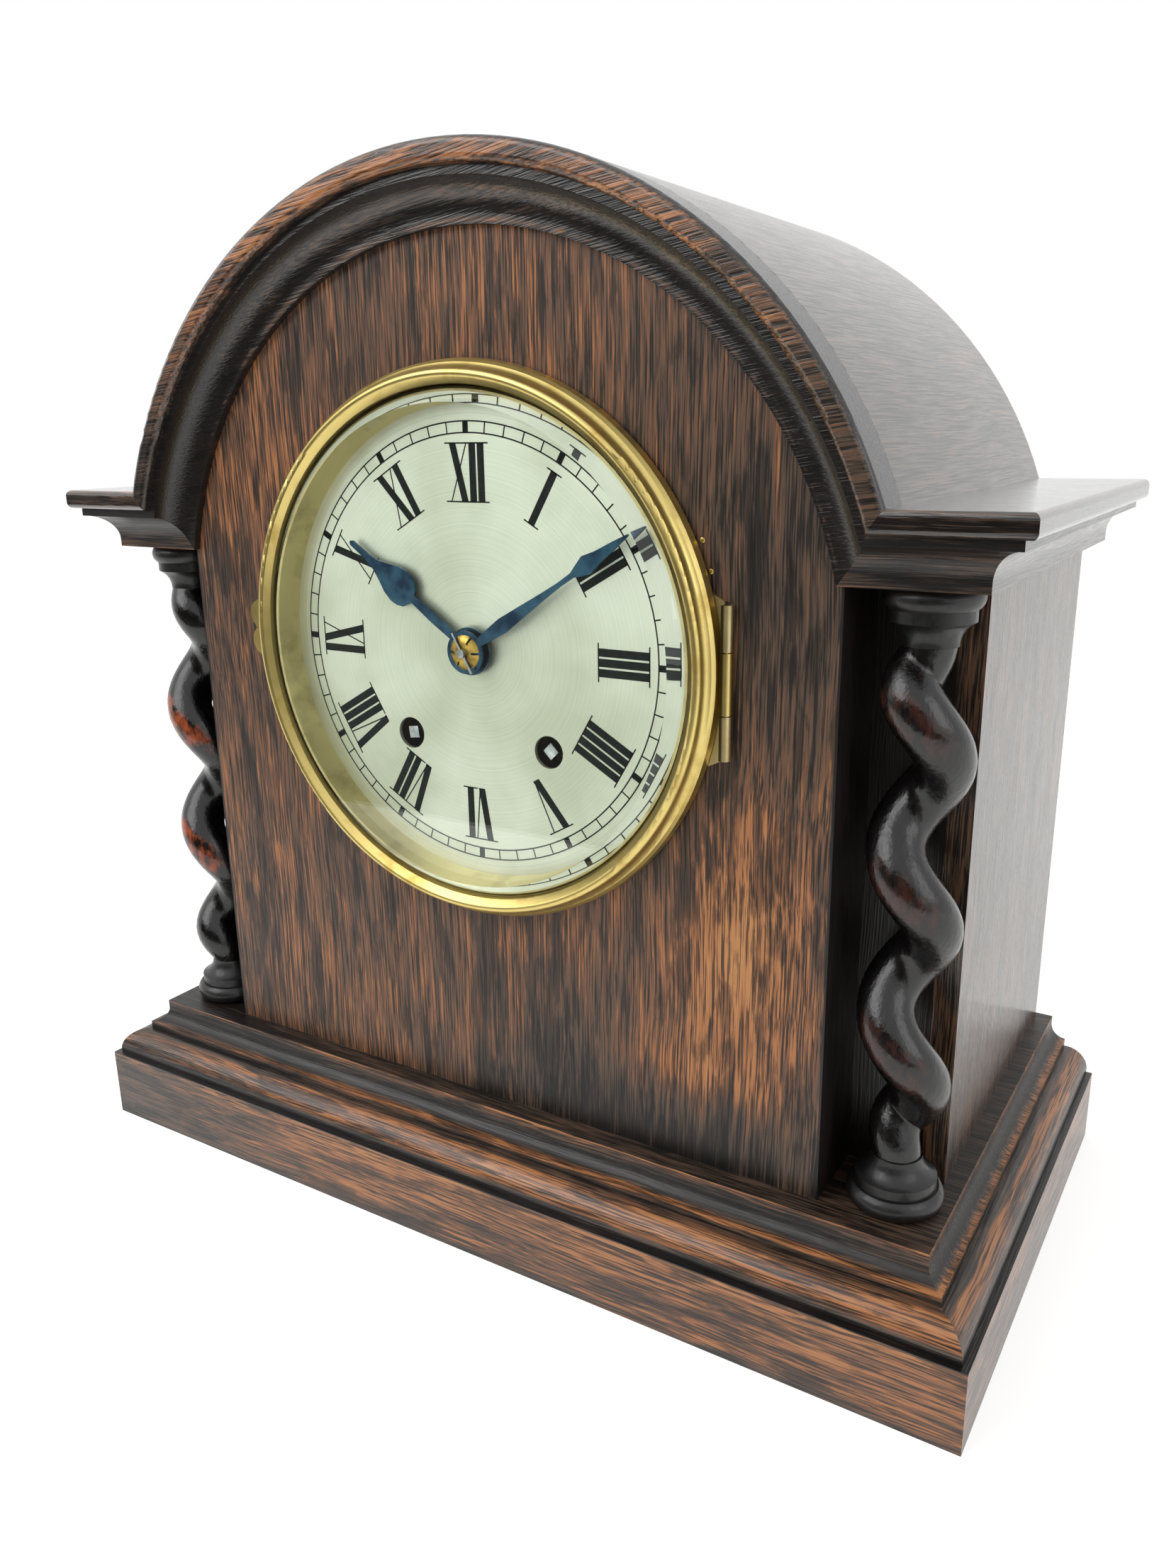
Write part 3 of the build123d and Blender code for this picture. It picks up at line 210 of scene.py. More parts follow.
# Node helpers
def node(tree, kind, sockets=None, stops=None, **settings):
    """Adds a node with its settings, and sets or links its sockets."""
    made = tree.nodes.new(kind)
    for name, value in settings.items():
        setattr(made, name, value)
    if stops:
        elements = made.color_ramp.elements
        elements.remove(elements[1])
        for place, (position, colour) in enumerate(stops):
            element = elements[0] if place == 0 else elements.new(position)
            element.position = position
            element.color = colour
    for socket, value in (sockets or {}).items():
        if isinstance(value, bpy.types.NodeSocket):
            tree.links.new(value, made.inputs[socket])
        else:
            made.inputs[socket].default_value = value
    return made


def own_place(tree):
    """The piece's own coordinates."""
    return node(tree, "ShaderNodeTexCoord").outputs["Object"]


def moved(tree, place, shift, **sockets):
    """Coordinates moved, and turned or scaled where that is asked for."""
    return node(tree, "ShaderNodeMapping", {"Vector": place, "Location": shift, **sockets}).outputs["Vector"]


def distance_from(tree, place, axis, flat):
    """Distance from an axis, with a nought along it in the flat vector and in the axis's place."""
    level = moved(tree, place, -axis, Scale=flat)
    return node(tree, "ShaderNodeVectorMath", {0: level}, operation="LENGTH").outputs["Value"]


def reckon(tree, operation, *values):
    """The result of a Math node."""
    return node(tree, "ShaderNodeMath", dict(enumerate(values)), operation=operation).outputs[0]


def spread(tree, value, low, high, to_low=0.0, to_high=1.0):
    """A value between two limits, spread over two others."""
    limits = {"From Min": low, "From Max": high, "To Min": to_low, "To Max": to_high}
    return node(tree, "ShaderNodeMapRange", {"Value": value, **limits}).outputs["Result"]


def ramp(tree, value, *stops):
    """The colour that a value picks."""
    return node(tree, "ShaderNodeValToRGB", {"Fac": value}, stops=stops).outputs["Color"]


def shaded(tree, colour, shade, amount=1.0):
    """A colour darkened by a grey."""
    return node(
        tree, "ShaderNodeMix", {0: amount, 6: colour, 7: shade}, data_type="RGBA", blend_type="MULTIPLY"
    ).outputs[2]


def clouds_of(tree, place, size, detail, roughness=0.5):
    """Noise whose clouds are so many millimetres across."""
    sockets = {"Vector": place, "Scale": 1 / (size * MM), "Detail": detail, "Roughness": roughness}
    return node(tree, "ShaderNodeTexNoise", sockets).outputs


def drawn_out(tree, place, width, length, detail, roughness=0.5):
    """Noise drawn out along Z, with its width and length in millimetres."""
    scale = (1 / (width * MM), 1 / (width * MM), 1 / (length * MM))
    stretched = node(tree, "ShaderNodeMapping", {"Vector": place, "Scale": scale}).outputs["Vector"]
    sockets = {"Vector": stretched, "Scale": 1.0, "Detail": detail, "Roughness": roughness}
    return node(tree, "ShaderNodeTexNoise", sockets).outputs["Fac"]


def dial_rings(tree, place, gap, detail):
    """Noise in rings about the dial's axis, so many millimetres apart."""
    radius = distance_from(tree, place, dial_axis, (1, 0, 1))
    sockets = {"W": radius, "Scale": 1 / (gap * MM), "Detail": detail}
    return node(tree, "ShaderNodeTexNoise", sockets, noise_dimensions="1D").outputs["Fac"]


def plug(tree, shader, **values):
    """Links results to the shader's sockets."""
    for name, value in values.items():
        tree.links.new(value, shader.inputs[name.replace("_", " ")])


def raised(tree, height, strength, millimetres):
    """A surface raised by a height."""
    sockets = {"Height": height, "Strength": strength, "Distance": millimetres * MM}
    return node(tree, "ShaderNodeBump", sockets).outputs["Normal"]


def mix_shaders(tree, amount, shader, other):
    """Shows another shader in place of the first, by an amount."""
    mixed = node(tree, "ShaderNodeMixShader", {0: amount, 1: shader.outputs["BSDF"], 2: other})
    tree.links.new(mixed.outputs["Shader"], tree.nodes["Material Output"].inputs["Surface"])


def new_finish(name):
    finish = bpy.data.materials.new(name)
    finish.use_nodes = True
    return finish, finish.node_tree, finish.node_tree.nodes["Principled BSDF"]


def dress(finish, *names):
    for name in names:
        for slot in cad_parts[name].material_slots:
            slot.material = finish


def grey(level):
    return (level, level, level, 1.0)


# Grain turns that bring the length of a board onto the local Z axis
GRAIN_TURNS = {
    "X": (0, math.radians(90), 0),
    "Y": (math.radians(90), 0, 0),
    "Z": (0, 0, 0),
    "ARCH": (0, math.radians(98), 0),
}

# Width and length in millimetres, detail, and how much each layer says about the stain
OAK_LAYERS = {
    "pore lines": (0.5, 20.0, 2.0, 0.34),
    "fingers": (1.3, 22.0, 4.0, 0.42),
    "blotches": (7.0, 34.0, 5.0, 0.22),
    "broad tone": (50.0, 90.0, 1.0, 0.16),
}

# Width and length in millimetres and detail of the rubbed patches, the grain and the gouge marks
COLUMN_LAYERS = ((3.0, 5.0, 4.0), (0.4, 6.0, 3.0), (1.4, 2.6, 2.0))


def stained_oak(name, grain, rub, spots, wear, shift, gloss, coat):
    """Oak stained black and varnished, then rubbed by long use: dark fingers along the grain over orange
    wood, with fine pore lines, under a film that shines at low angles. Where a table of heights is given,
    painted shade also darkens the hollows of the mouldings."""
    colours = bpy.context.scene.clock_finishes
    finish, tree, shader = new_finish(name)
    place = own_place(tree)
    along = moved(tree, place, shift, Rotation=GRAIN_TURNS[grain])
    # The grain wanders by a few millimetres over the length of a hand
    wander = clouds_of(tree, along, 70, 1.0)["Color"]
    bent = node(
        tree,
        "ShaderNodeVectorMath",
        {0: wander, 1: (4 * MM, 4 * MM, 0), 2: along},
        operation="MULTIPLY_ADD",
    ).outputs["Vector"]
    figure = rub
    layers = {}
    for layer, (width, length, detail, weight) in OAK_LAYERS.items():
        layers[layer] = drawn_out(tree, bent, width, length, detail, 0.6)
        figure = reckon(tree, "MULTIPLY_ADD", layers[layer], weight, figure)
    for centre, reach, amount in spots:
        # A patch rubbed bare, or a darker one where the amount is below nought: stain still black, except on
        # the panel's side faces, which carry painted shade
        size = [1 / (part * MM) for part in reach]
        away = [-spot / part for spot, part in zip(centre, reach)]
        patch = moved(tree, place, away, Scale=size)
        fade = node(tree, "ShaderNodeTexGradient", {"Vector": patch}, gradient_type="SPHERICAL")
        figure = reckon(tree, "MULTIPLY_ADD", fade.outputs["Fac"], amount, figure)
    if wear:
        # Real wear lightens the edges of a moulding, and painted shade darkens its hollows and inner corners
        if grain == "ARCH":
            level = distance_from(tree, place, dial_axis, (1, 0, 1))
        else:
            level = node(tree, "ShaderNodeSeparateXYZ", {"Vector": place}).outputs["Z"]
        low, high = wear[0][0], wear[-1][0]
        stops = [((spot - low) / (high - low), grey(0.5 + amount)) for spot, amount in wear]
        worn = ramp(tree, spread(tree, level, low * MM, high * MM), *stops)
        figure = reckon(tree, "ADD", figure, worn)
        figure = reckon(tree, "SUBTRACT", figure, 0.5)
    colour = ramp(
        tree,
        figure,
        (0.32, colours.oak_pore),
        (0.46, colours.oak_dark),
        (0.56, colours.oak_red),
        (0.62, colours.oak_orange),
        (0.76, colours.oak_light),
    )
    # Stain that stayed in the blotches and in the pores
    lines = layers["pore lines"]
    blotch_shade = ramp(tree, layers["blotches"], (0.42, grey(0.25)), (0.47, grey(1.0)))
    pore_shade = ramp(tree, lines, (0.41, grey(0.12)), (0.52, grey(1.0)))
    colour = shaded(tree, shaded(tree, colour, blotch_shade, 0.7), pore_shade, 0.9)
    rough = spread(tree, lines, 0.35, 0.65, gloss + 0.1, gloss)
    grown = raised(tree, lines, 0.6, 0.2)
    plug(tree, shader, Base_Color=colour, Roughness=rough, Normal=grown, Coat_Normal=grown)
    shader.inputs["Coat Weight"].default_value = coat
    shader.inputs["Coat Roughness"].default_value = 0.12
    return finish


def worn_column_oak(name, axis, worn_colour, twist):
    """Carved oak under old black polish: glossy and nearly black, rough from the gouge, rubbed back to brown
    wood on the ridges."""
    colours = bpy.context.scene.clock_finishes
    finish, tree, shader = new_finish(name)
    place = own_place(tree)
    ground = Vector((axis.x, axis.y, 0))
    centred = moved(tree, place, -ground)
    across = node(tree, "ShaderNodeSeparateXYZ", {"Vector": centred}).outputs
    ridge = spread(tree, distance_from(tree, place, ground, (1, 1, 0)), 9.0 * MM, 12.4 * MM)
    # Hands rub the side that faces the room
    touched = spread(tree, across["Y"], -4 * MM, -10 * MM)
    ridge = reckon(tree, "MULTIPLY", ridge, touched)
    # The turned ends are smooth and duller, and only the twist between them is cut with the gouge
    middle, half = (twist[0] + twist[1]) / 2, (twist[1] - twist[0]) / 2
    carved = reckon(tree, "COMPARE", across["Z"], middle, half)
    ridge = reckon(tree, "MULTIPLY", ridge, carved)
    patches, grain, gouges = [drawn_out(tree, centred, *layer) for layer in COLUMN_LAYERS]
    rubbed = reckon(tree, "MULTIPLY", ridge, patches)
    worn = reckon(tree, "MULTIPLY_ADD", grain, 0.3, rubbed)
    colour = ramp(tree, worn, (0.52, colours.column_dark), (0.78, worn_colour))
    rough = spread(tree, gouges, 0.3, 0.7, 0.52, 0.36)
    rough = reckon(tree, "MULTIPLY_ADD", carved, -0.2, rough)
    cuts = reckon(tree, "MULTIPLY_ADD", grain, 0.3, gouges)
    cuts = reckon(tree, "MULTIPLY", cuts, carved)
    plug(tree, shader, Base_Color=colour, Roughness=rough, Normal=raised(tree, cuts, 0.5, 0.3))
    shader.inputs["Coat Weight"].default_value = 0.2
    shader.inputs["Coat Roughness"].default_value = 0.1
    return finish


def turned_brass(name, bright, old, rough, ring_gap):
    """Lathe-turned brass: a bright yellow metal with fine turning rings and brown tarnish in patches."""
    finish, tree, shader = new_finish(name)
    place = own_place(tree)
    # Tarnish patches about 14 mm across
    patches = clouds_of(tree, place, 14, 5.0, 0.6)["Fac"]
    colour = ramp(tree, patches, (0.25, old), (0.48, bright))
    # Painted shade: a dark band on the brass standing for the shadowed gap between the bezel and its hinge
    # barrel
    across = node(tree, "ShaderNodeSeparateXYZ", {"Vector": place}).outputs["X"]
    painted_gap_shade = ramp(
        tree,
        spread(tree, across, hinge_low.x, hinge_high.x),
        (0.55, grey(1.0)),
        (0.6, grey(0.12)),
        (0.72, grey(0.12)),
        (0.8, grey(1.0)),
    )
    rings = raised(tree, dial_rings(tree, place, ring_gap, 2.0), 0.12, 0.05)
    dulled = spread(tree, patches, 0.3, 0.7, rough + 0.12, rough)
    plug(tree, shader, Base_Color=shaded(tree, colour, painted_gap_shade), Roughness=dulled, Normal=rings)
    shader.inputs["Metallic"].default_value = 1.0
    return finish


def rolled_metal(name, bright, dull, rough, patch):
    """Rolled or drawn metal: an even tone with faint cloudy patches."""
    finish, tree, shader = new_finish(name)
    clouds = clouds_of(tree, own_place(tree), patch, 4.0)["Fac"]
    colour = ramp(tree, clouds, (0.35, dull), (0.6, bright))
    plug(tree, shader, Base_Color=colour, Roughness=spread(tree, clouds, 0.3, 0.7, rough + 0.1, rough))
    shader.inputs["Metallic"].default_value = 1.0
    return finish


def silvered_brass(name):
    """Brass silvered by hand in circles: a pale matt metal with a faint green cast, fine rings and
    scratches."""
    colours = bpy.context.scene.clock_finishes
    finish, tree, shader = new_finish(name)
    place = own_place(tree)
    # Rings of the silvering cloth, 0.5 mm apart, drawn coarser than real so that they show
    rings = dial_rings(tree, place, 0.5, 3.0)
    clouds = clouds_of(tree, moved(tree, place, -dial_axis), 40, 4.0)["Fac"]
    colour = ramp(tree, clouds, (0.35, colours.dial_aged), (0.6, colours.dial_silver))
    streak = ramp(tree, rings, (0.3, grey(0.9)), (0.65, grey(1.0)))
    plug(tree, shader, Base_Color=shaded(tree, colour, streak), Normal=raised(tree, rings, 0.1, 0.03))
    shader.inputs["Metallic"].default_value = 0.75
    shader.inputs["Roughness"].default_value = 0.42
    return finish


def bevelled_plate_glass(name):
    """Polished plate glass: clear, with a bright bevel that bends what lies behind it."""
    finish, tree, shader = new_finish(name)
    tint = linear("#f7fbf8")
    shader.inputs["Base Color"].default_value = tint
    shader.inputs["Roughness"].default_value = 0.0
    shader.inputs["IOR"].default_value = 1.5
    shader.inputs["Transmission Weight"].default_value = 1.0
    clear = node(tree, "ShaderNodeBsdfTransparent", {"Color": tint}).outputs["BSDF"]
    lamp_ray = node(tree, "ShaderNodeLightPath").outputs["Is Shadow Ray"]
    mix_shaders(tree, lamp_ray, shader, clear)
    return finish


def engraver_wax(name):
    """Black wax melted into engraving: deep green-black, with a soft sheen."""
    colours = bpy.context.scene.clock_finishes
    finish, tree, shader = new_finish(name)
    wear = clouds_of(tree, own_place(tree), 2, 3.0)["Fac"]
    plug(tree, shader, Base_Color=ramp(tree, wear, (0.4, colours.wax), (0.75, linear("#182120"))))
    shader.inputs["Roughness"].default_value = 0.55
    shader.inputs["Specular IOR Level"].default_value = 0.15
    return finish


# Modelling helpers
def settle():
    """Moves the places of the selected pieces into their meshes."""
    bpy.ops.object.transform_apply(location=True, rotation=True, scale=True)


def select_only(*pieces):
    bpy.ops.object.select_all(action="DESELECT")
    for piece in pieces:
        piece.select_set(True)
    bpy.context.view_layer.objects.active = pieces[-1]


def copy_of(piece):
    twin = piece.copy()
    twin.data = piece.data.copy()
    bpy.context.scene.collection.objects.link(twin)
    return twin


def joined(pieces, name):
    select_only(*pieces)
    bpy.ops.object.join()
    whole = bpy.context.object
    whole.name = name
    settle()
    return whole


def hand_over(piece, body, finish):
    piece.data.materials.clear()
    piece.data.materials.append(finish)
    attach(piece, body)


def slide_top(piece, run):
    """Slides the upper edge of an upright plane sideways, which slants the stroke."""
    select_only(piece)
    bpy.ops.object.mode_set(mode="EDIT")
    bpy.ops.mesh.select_all(action="DESELECT")
    shape = bmesh.from_edit_mesh(piece.data)
    for point in shape.verts:
        point.select = point.co.z > 0
    shape.select_flush(True)
    bmesh.update_edit_mesh(piece.data)
    bpy.ops.transform.translate(value=(run, 0, 0))
    bpy.ops.object.mode_set(mode="OBJECT")


def stroke(width, height, run=0.0):
    """An upright painted stroke about the origin, facing the front."""
    bpy.ops.object.select_all(action="DESELECT")
    bpy.ops.mesh.primitive_plane_add(size=1, rotation=(math.radians(90), 0, 0))
    piece = bpy.context.object
    piece.scale = (width, height, 1)
    settle()
    if run:
        slide_top(piece, run)
    return piece


def raise_wax(piece, height):
    select_only(piece)
    wall = piece.modifiers.new("Wax height", "SOLIDIFY")
    wall.thickness = height
    wall.offset = 1.0
    bpy.ops.object.modifier_apply(modifier=wall.name)


NUMERALS = ("XII", "I", "II", "III", "IIII", "V", "VI", "VII", "VIII", "IX", "X", "XI")


def numeral(letters, models, marks):
    """One numeral at the top of the dial, laid out from copies of its strokes."""
    height = marks.numeral_outer - marks.numeral_inner
    middle = dial_centre.z + (marks.numeral_outer + marks.numeral_inner) / 2
    half_letter = marks.letter_width / 2
    half_thick = marks.thick_stroke / 2
    strokes = []
    x = 0.0
    for letter in letters:
        if letter == "I":
            strokes.append(("bar", x + half_thick))
            x += marks.thick_stroke + marks.stroke_gap
            continue
        strokes.append((letter + " thick", x + half_letter))
        strokes.append((letter + " thin", x + half_letter))
        x += marks.letter_width + marks.stroke_gap
    width = x - marks.stroke_gap
    pieces = []
    for kind, spot in strokes:
        piece = copy_of(models[kind])
        piece.location = (spot - width / 2, dial_centre.y, middle)
        pieces.append(piece)
    foot_run = width if letters[0] != "V" else width - marks.letter_width - marks.stroke_gap
    for end, run in ((1, width), (-1, foot_run)):
        if run <= 0:
            continue
        serif = copy_of(models["serif"])
        serif.scale = (run + 2 * marks.serif_reach, 1, 1)
        shift = (width - run) / 2
        serif.location = (shift, dial_centre.y, middle + end * (height - marks.thin_stroke) / 2)
        pieces.append(serif)
    return joined(pieces, "numeral_" + letters)


def turn_round_dial(piece, angle):
    """Turns a finished mesh about the dial's axis, clockwise as seen from the front."""
    centre = Matrix.Translation((0, 0, dial_centre.z))
    piece.matrix_world = centre @ Matrix.Rotation(angle, 4, "Y") @ centre.inverted()
    select_only(piece)
    settle()


def dial_numerals(marks):
    height = marks.numeral_outer - marks.numeral_inner
    half = marks.letter_width / 2
    half_thick = marks.thick_stroke / 2
    half_thin = marks.thin_stroke / 2
    apex = 0.2 * marks.letter_width
    models = {
        "bar": stroke(marks.thick_stroke, height),
        "serif": stroke(1, marks.thin_stroke),
        "X thick": stroke(marks.thick_stroke, height, 2 * (half_thick - half)),
        "X thin": stroke(marks.thin_stroke, height, 2 * (half - half_thin)),
        "V thick": stroke(marks.thick_stroke, height, half_thick - half - apex / 2),
        "V thin": stroke(marks.thin_stroke, height, half - half_thin - apex),
    }
    for kind, shift in (
        ("X thick", half - half_thick),
        ("X thin", half_thin - half),
        ("V thick", apex / 2),
        ("V thin", apex),
    ):
        models[kind].data.transform(Matrix.Translation((shift, 0, 0)))
    pieces = []
    for hour, letters in enumerate(NUMERALS):
        piece = numeral(letters, models, marks)
        turn_round_dial(piece, math.radians(30) * hour)
        pieces.append(piece)
    for model in models.values():
        bpy.data.objects.remove(model)
    whole = joined(pieces, "dial_numerals")
    raise_wax(whole, marks.paint)
    return whole


def track_circle(radius, width):
    """A thin ring: a circle of edges, extruded and drawn in by the line's width."""
    bpy.ops.object.select_all(action="DESELECT")
    bpy.ops.mesh.primitive_circle_add(
        vertices=240, radius=radius + width / 2, location=dial_centre, rotation=(math.radians(90), 0, 0)
    )
    ring = bpy.context.object
    bpy.ops.object.mode_set(mode="EDIT")
    bpy.ops.mesh.select_all(action="SELECT")
    bpy.ops.mesh.extrude_edges_move()
    shrink = (radius - width / 2) / (radius + width / 2)
    bpy.ops.transform.resize(value=(shrink, 1, shrink), center_override=dial_centre)
    bpy.ops.mesh.select_all(action="SELECT")
    bpy.ops.mesh.normals_make_consistent(inside=False)
    bpy.ops.object.mode_set(mode="OBJECT")
    return ring


def minute_lines(width, count, marks):
    """Marks across the track, spun round the dial from one plane."""
    mark = stroke(width, marks.track_outer - marks.track_inner)
    mark.location = (0, dial_centre.y, dial_centre.z + (marks.track_outer + marks.track_inner) / 2)
    select_only(mark)
    settle()
    bpy.ops.object.mode_set(mode="EDIT")
    bpy.ops.mesh.select_all(action="SELECT")
    bpy.ops.mesh.spin(
        steps=count, dupli=True, angle=math.radians(360), center=dial_centre, axis=(0, 1, 0)
    )
    bpy.ops.mesh.select_all(action="SELECT")
    bpy.ops.mesh.remove_doubles(threshold=MERGE)
    bpy.ops.object.mode_set(mode="OBJECT")
    return mark


def face_front(piece):
    """Turns every face of a flat mark to the front."""
    select_only(piece)
    bpy.ops.object.mode_set(mode="EDIT")
    bpy.ops.mesh.select_all(action="DESELECT")
    shape = bmesh.from_edit_mesh(piece.data)
    shape.normal_update()
    for face in shape.faces:
        face.select = face.normal.y > 0
    bmesh.update_edit_mesh(piece.data)
    bpy.ops.mesh.flip_normals()
    bpy.ops.object.mode_set(mode="OBJECT")


def minute_track(marks):
    pieces = [
        track_circle(marks.track_inner, marks.track_line),
        track_circle(marks.track_outer, marks.track_line),
        minute_lines(marks.track_line, 60, marks),
        minute_lines(marks.hour_bar, 12, marks),
    ]
    whole = joined(pieces, "minute_track")
    face_front(whole)
    raise_wax(whole, marks.paint)
    return whole


def select_parts(piece, kind, test):
    """Selects the edges or faces that pass a test, in edit mode."""
    bpy.ops.mesh.select_mode(type=kind)
    bpy.ops.mesh.select_all(action="DESELECT")
    shape = bmesh.from_edit_mesh(piece.data)
    for part in shape.edges if kind == "EDGE" else shape.faces:
        part.select = test(part)
    bmesh.update_edit_mesh(piece.data)


def domed_head(radius, rise, slot=0.0):
    """A domed head standing on the origin, with a slot cut across it."""
    bpy.ops.object.select_all(action="DESELECT")
    bpy.ops.mesh.primitive_cylinder_add(vertices=32, radius=radius, depth=rise, location=(0, 0, rise / 2))
    head = bpy.context.object
    settle()
    bpy.ops.object.mode_set(mode="EDIT")
    select_parts(head, "EDGE", lambda edge: all(point.co.z > 0.9 * rise for point in edge.verts))
    bpy.ops.mesh.bevel(offset=0.75 * rise, segments=4, affect="EDGES")
    if slot:
        for side in (-1, 1):
            bpy.ops.mesh.select_all(action="SELECT")
            bpy.ops.mesh.bisect(plane_co=(side * slot / 2, 0, 0), plane_no=(1, 0, 0))
        select_parts(
            head,
            "FACE",
            lambda face: face.normal.z > 0.9 and abs(face.calc_center_median().x) < slot / 4,
        )
        bpy.ops.mesh.extrude_region_move(TRANSFORM_OT_translate={"value": (0, 0, -0.7 * rise)})
    bpy.ops.object.mode_set(mode="OBJECT")
    bpy.ops.object.shade_smooth_by_angle(angle=math.radians(35))
    return head


def pillar_nut(radius, height):
    """A six-sided nut standing on the origin, with the end of its pillar in the middle."""
    bpy.ops.object.select_all(action="DESELECT")
    bpy.ops.mesh.primitive_cylinder_add(vertices=6, radius=radius, depth=height, location=(0, 0, height / 2))
    nut = bpy.context.object
    settle()
    bpy.ops.object.mode_set(mode="EDIT")
    bpy.ops.mesh.select_all(action="SELECT")
    bpy.ops.mesh.bevel(offset=0.1 * radius, segments=2, affect="EDGES")
    bpy.ops.object.mode_set(mode="OBJECT")
    bpy.ops.object.shade_smooth_by_angle(angle=math.radians(30))
    end = domed_head(0.55 * radius, 0.4 * height)
    end.location = (0, 0, height)
    return joined([end, nut], "pillar_nut")


FACING = {"front": (math.radians(90), 0, 0), "back": (math.radians(-90), 0, 0), "up": (0, 0, 0)}


def set_out(model, facing, spots, name):
    """Copies a model to each spot and joins the copies."""
    pieces = []
    for spot in spots:
        piece = copy_of(model)
        piece.rotation_euler = FACING[facing]
        piece.location = spot
        pieces.append(piece)
    return joined(pieces, name)


# Points of a column's strand in one turn, and how far its ends are cut from the level of the turned ends
STRAND_STEPS = 40
CUT_GAP = 0.05 * MM


def twisted_strand(axis, low, high, start, sizes):
    """A round strand that winds left-handed round the column's axis and fades into its necks."""
    bpy.ops.object.select_all(action="DESELECT")
    bottom = low - sizes.sink
    top = high + sizes.sink
    middle = (low + high) / 2
    steps = round((top - bottom) / sizes.pitch * STRAND_STEPS)
    bpy.ops.curve.primitive_nurbs_path_add()
    strand = bpy.context.object
    strand.data.splines.clear()
    line = strand.data.splines.new("POLY")
    line.points.add(steps)
    for step, point in enumerate(line.points):
        z = bottom + (top - bottom) * step / steps
        grown = max(0, min(1, (z - bottom) / sizes.fade, (top - z) / sizes.fade))
        swell = grown * grown * (3 - 2 * grown)
        turn = start - math.tau * (z - middle) / sizes.pitch
        throw = sizes.throw * swell
        point.co = (axis.x + throw * math.cos(turn), axis.y + throw * math.sin(turn), z, 1)
        point.radius = (sizes.neck + (sizes.strand - sizes.neck) * swell) / sizes.strand
    strand.data.dimensions = "3D"
    strand.data.bevel_depth = sizes.strand
    strand.data.bevel_resolution = 10
    strand.data.use_fill_caps = True
    bpy.ops.object.convert(target="MESH")
    bpy.ops.object.shade_smooth_by_angle(angle=math.radians(40))
    return bpy.context.object


def cut_end(name, level, keep_low):
    """The turned end of a column, below or above a level."""
    end = copy_of(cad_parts[name])
    select_only(end)
    bpy.ops.mesh.customdata_custom_splitnormals_clear()
    bpy.ops.object.mode_set(mode="EDIT")
    bpy.ops.mesh.select_all(action="SELECT")
    bpy.ops.mesh.remove_doubles(threshold=MERGE)
    bpy.ops.mesh.select_all(action="SELECT")
    bpy.ops.mesh.bisect(
        plane_co=(0, 0, level - CUT_GAP if keep_low else level + CUT_GAP),
        plane_no=(0, 0, 1),
        use_fill=True,
        clear_outer=keep_low,
        clear_inner=not keep_low,
    )
    bpy.ops.object.mode_set(mode="OBJECT")
    bpy.ops.object.shade_smooth_by_angle(angle=math.radians(40))
    return end


# Height in millimetres, or distance from the dial's axis on the arch, and how far the stain is rubbed there;
# amounts below nought darken, and in the hollows and inner corners this darkening is painted shade
ARCH_BAND = 19.0
arch_inner = arch_radius / MM - ARCH_BAND
ARCH_WEAR_AND_SHADE = [
    (arch_inner, -0.2),
    (arch_inner + 1.0, 0.0),
    (arch_inner + 2.5, -0.28),
    (arch_inner + 8.0, -0.08),
    (arch_inner + 10.5, -0.34),
    (arch_inner + 12.6, -0.2),
    (arch_inner + 13.2, 0.1),
    (arch_inner + 18.2, 0.06),
    (arch_inner + 18.6, -0.26),
    (arch_inner + ARCH_BAND, -0.26),
]
PLINTH_WEAR_AND_SHADE = [
    (0.0, -0.12),
    (2.5, 0.0),
    (18.0, 0.04),
    (24.2, 0.1),
    (24.6, 0.2),
    (25.2, -0.3),
    (27.0, -0.2),
    (28.5, 0.04),
    (33.0, 0.1),
    (33.5, -0.1),
]
PLATFORM_WEAR_AND_SHADE = [
    (33.5, -0.2),
    (34.5, -0.05),
    (36.2, 0.15),
    (37.2, -0.3),
    (40.5, -0.15),
    (43.4, 0.05),
    (43.8, 0.2),
    (44.0, -0.12),
]
CORNICE_WEAR_AND_SHADE = [
    (214.1, 0.06),
    (214.8, -0.1),
    (216.6, -0.1),
    (222.0, -0.05),
    (224.6, -0.25),
    (227.1, -0.1),
]
SHELF_WEAR_AND_SHADE = [(227.1, -0.05), (228.5, -0.12), (232.0, -0.08), (232.7, 0.1), (233.1, -0.06)]

# Patches of the front: centre and reach in millimetres, and how far the stain is rubbed there; below nought a
# patch is darker, in stain, or in painted shade where marked
front_y = panel_low.y / MM
DARK_FLANKS = [
    ((-150, front_y, 195), (130, 300, 120), -0.42),
    ((125, front_y, 240), (75, 300, 85), -0.22),
]
DARK_END = [((-170, front_y, 20), (140, 400, 120), -0.16)]
PANEL_SPOTS = [
    ((88, front_y, 108), (27, 200, 52), 0.2),
    ((70, front_y, 70), (22, 200, 18), 0.1),
    ((60, front_y, 44), (95, 200, 30), -0.28),
    ((30, front_y, 70), (30, 200, 40), -0.08),
    ((-30, front_y, 250), (70, 200, 60), 0.04),
    ((95, front_y, 215), (40, 200, 70), -0.09),
    # Painted shade: the panel's two side faces, which turn into the shaded corner recesses, are made dark
    ((panel_high.x / MM, front_y, 130), (0.8, 400, 400), -0.6),
    ((panel_low.x / MM, front_y, 130), (0.8, 400, 400), -0.6),
]
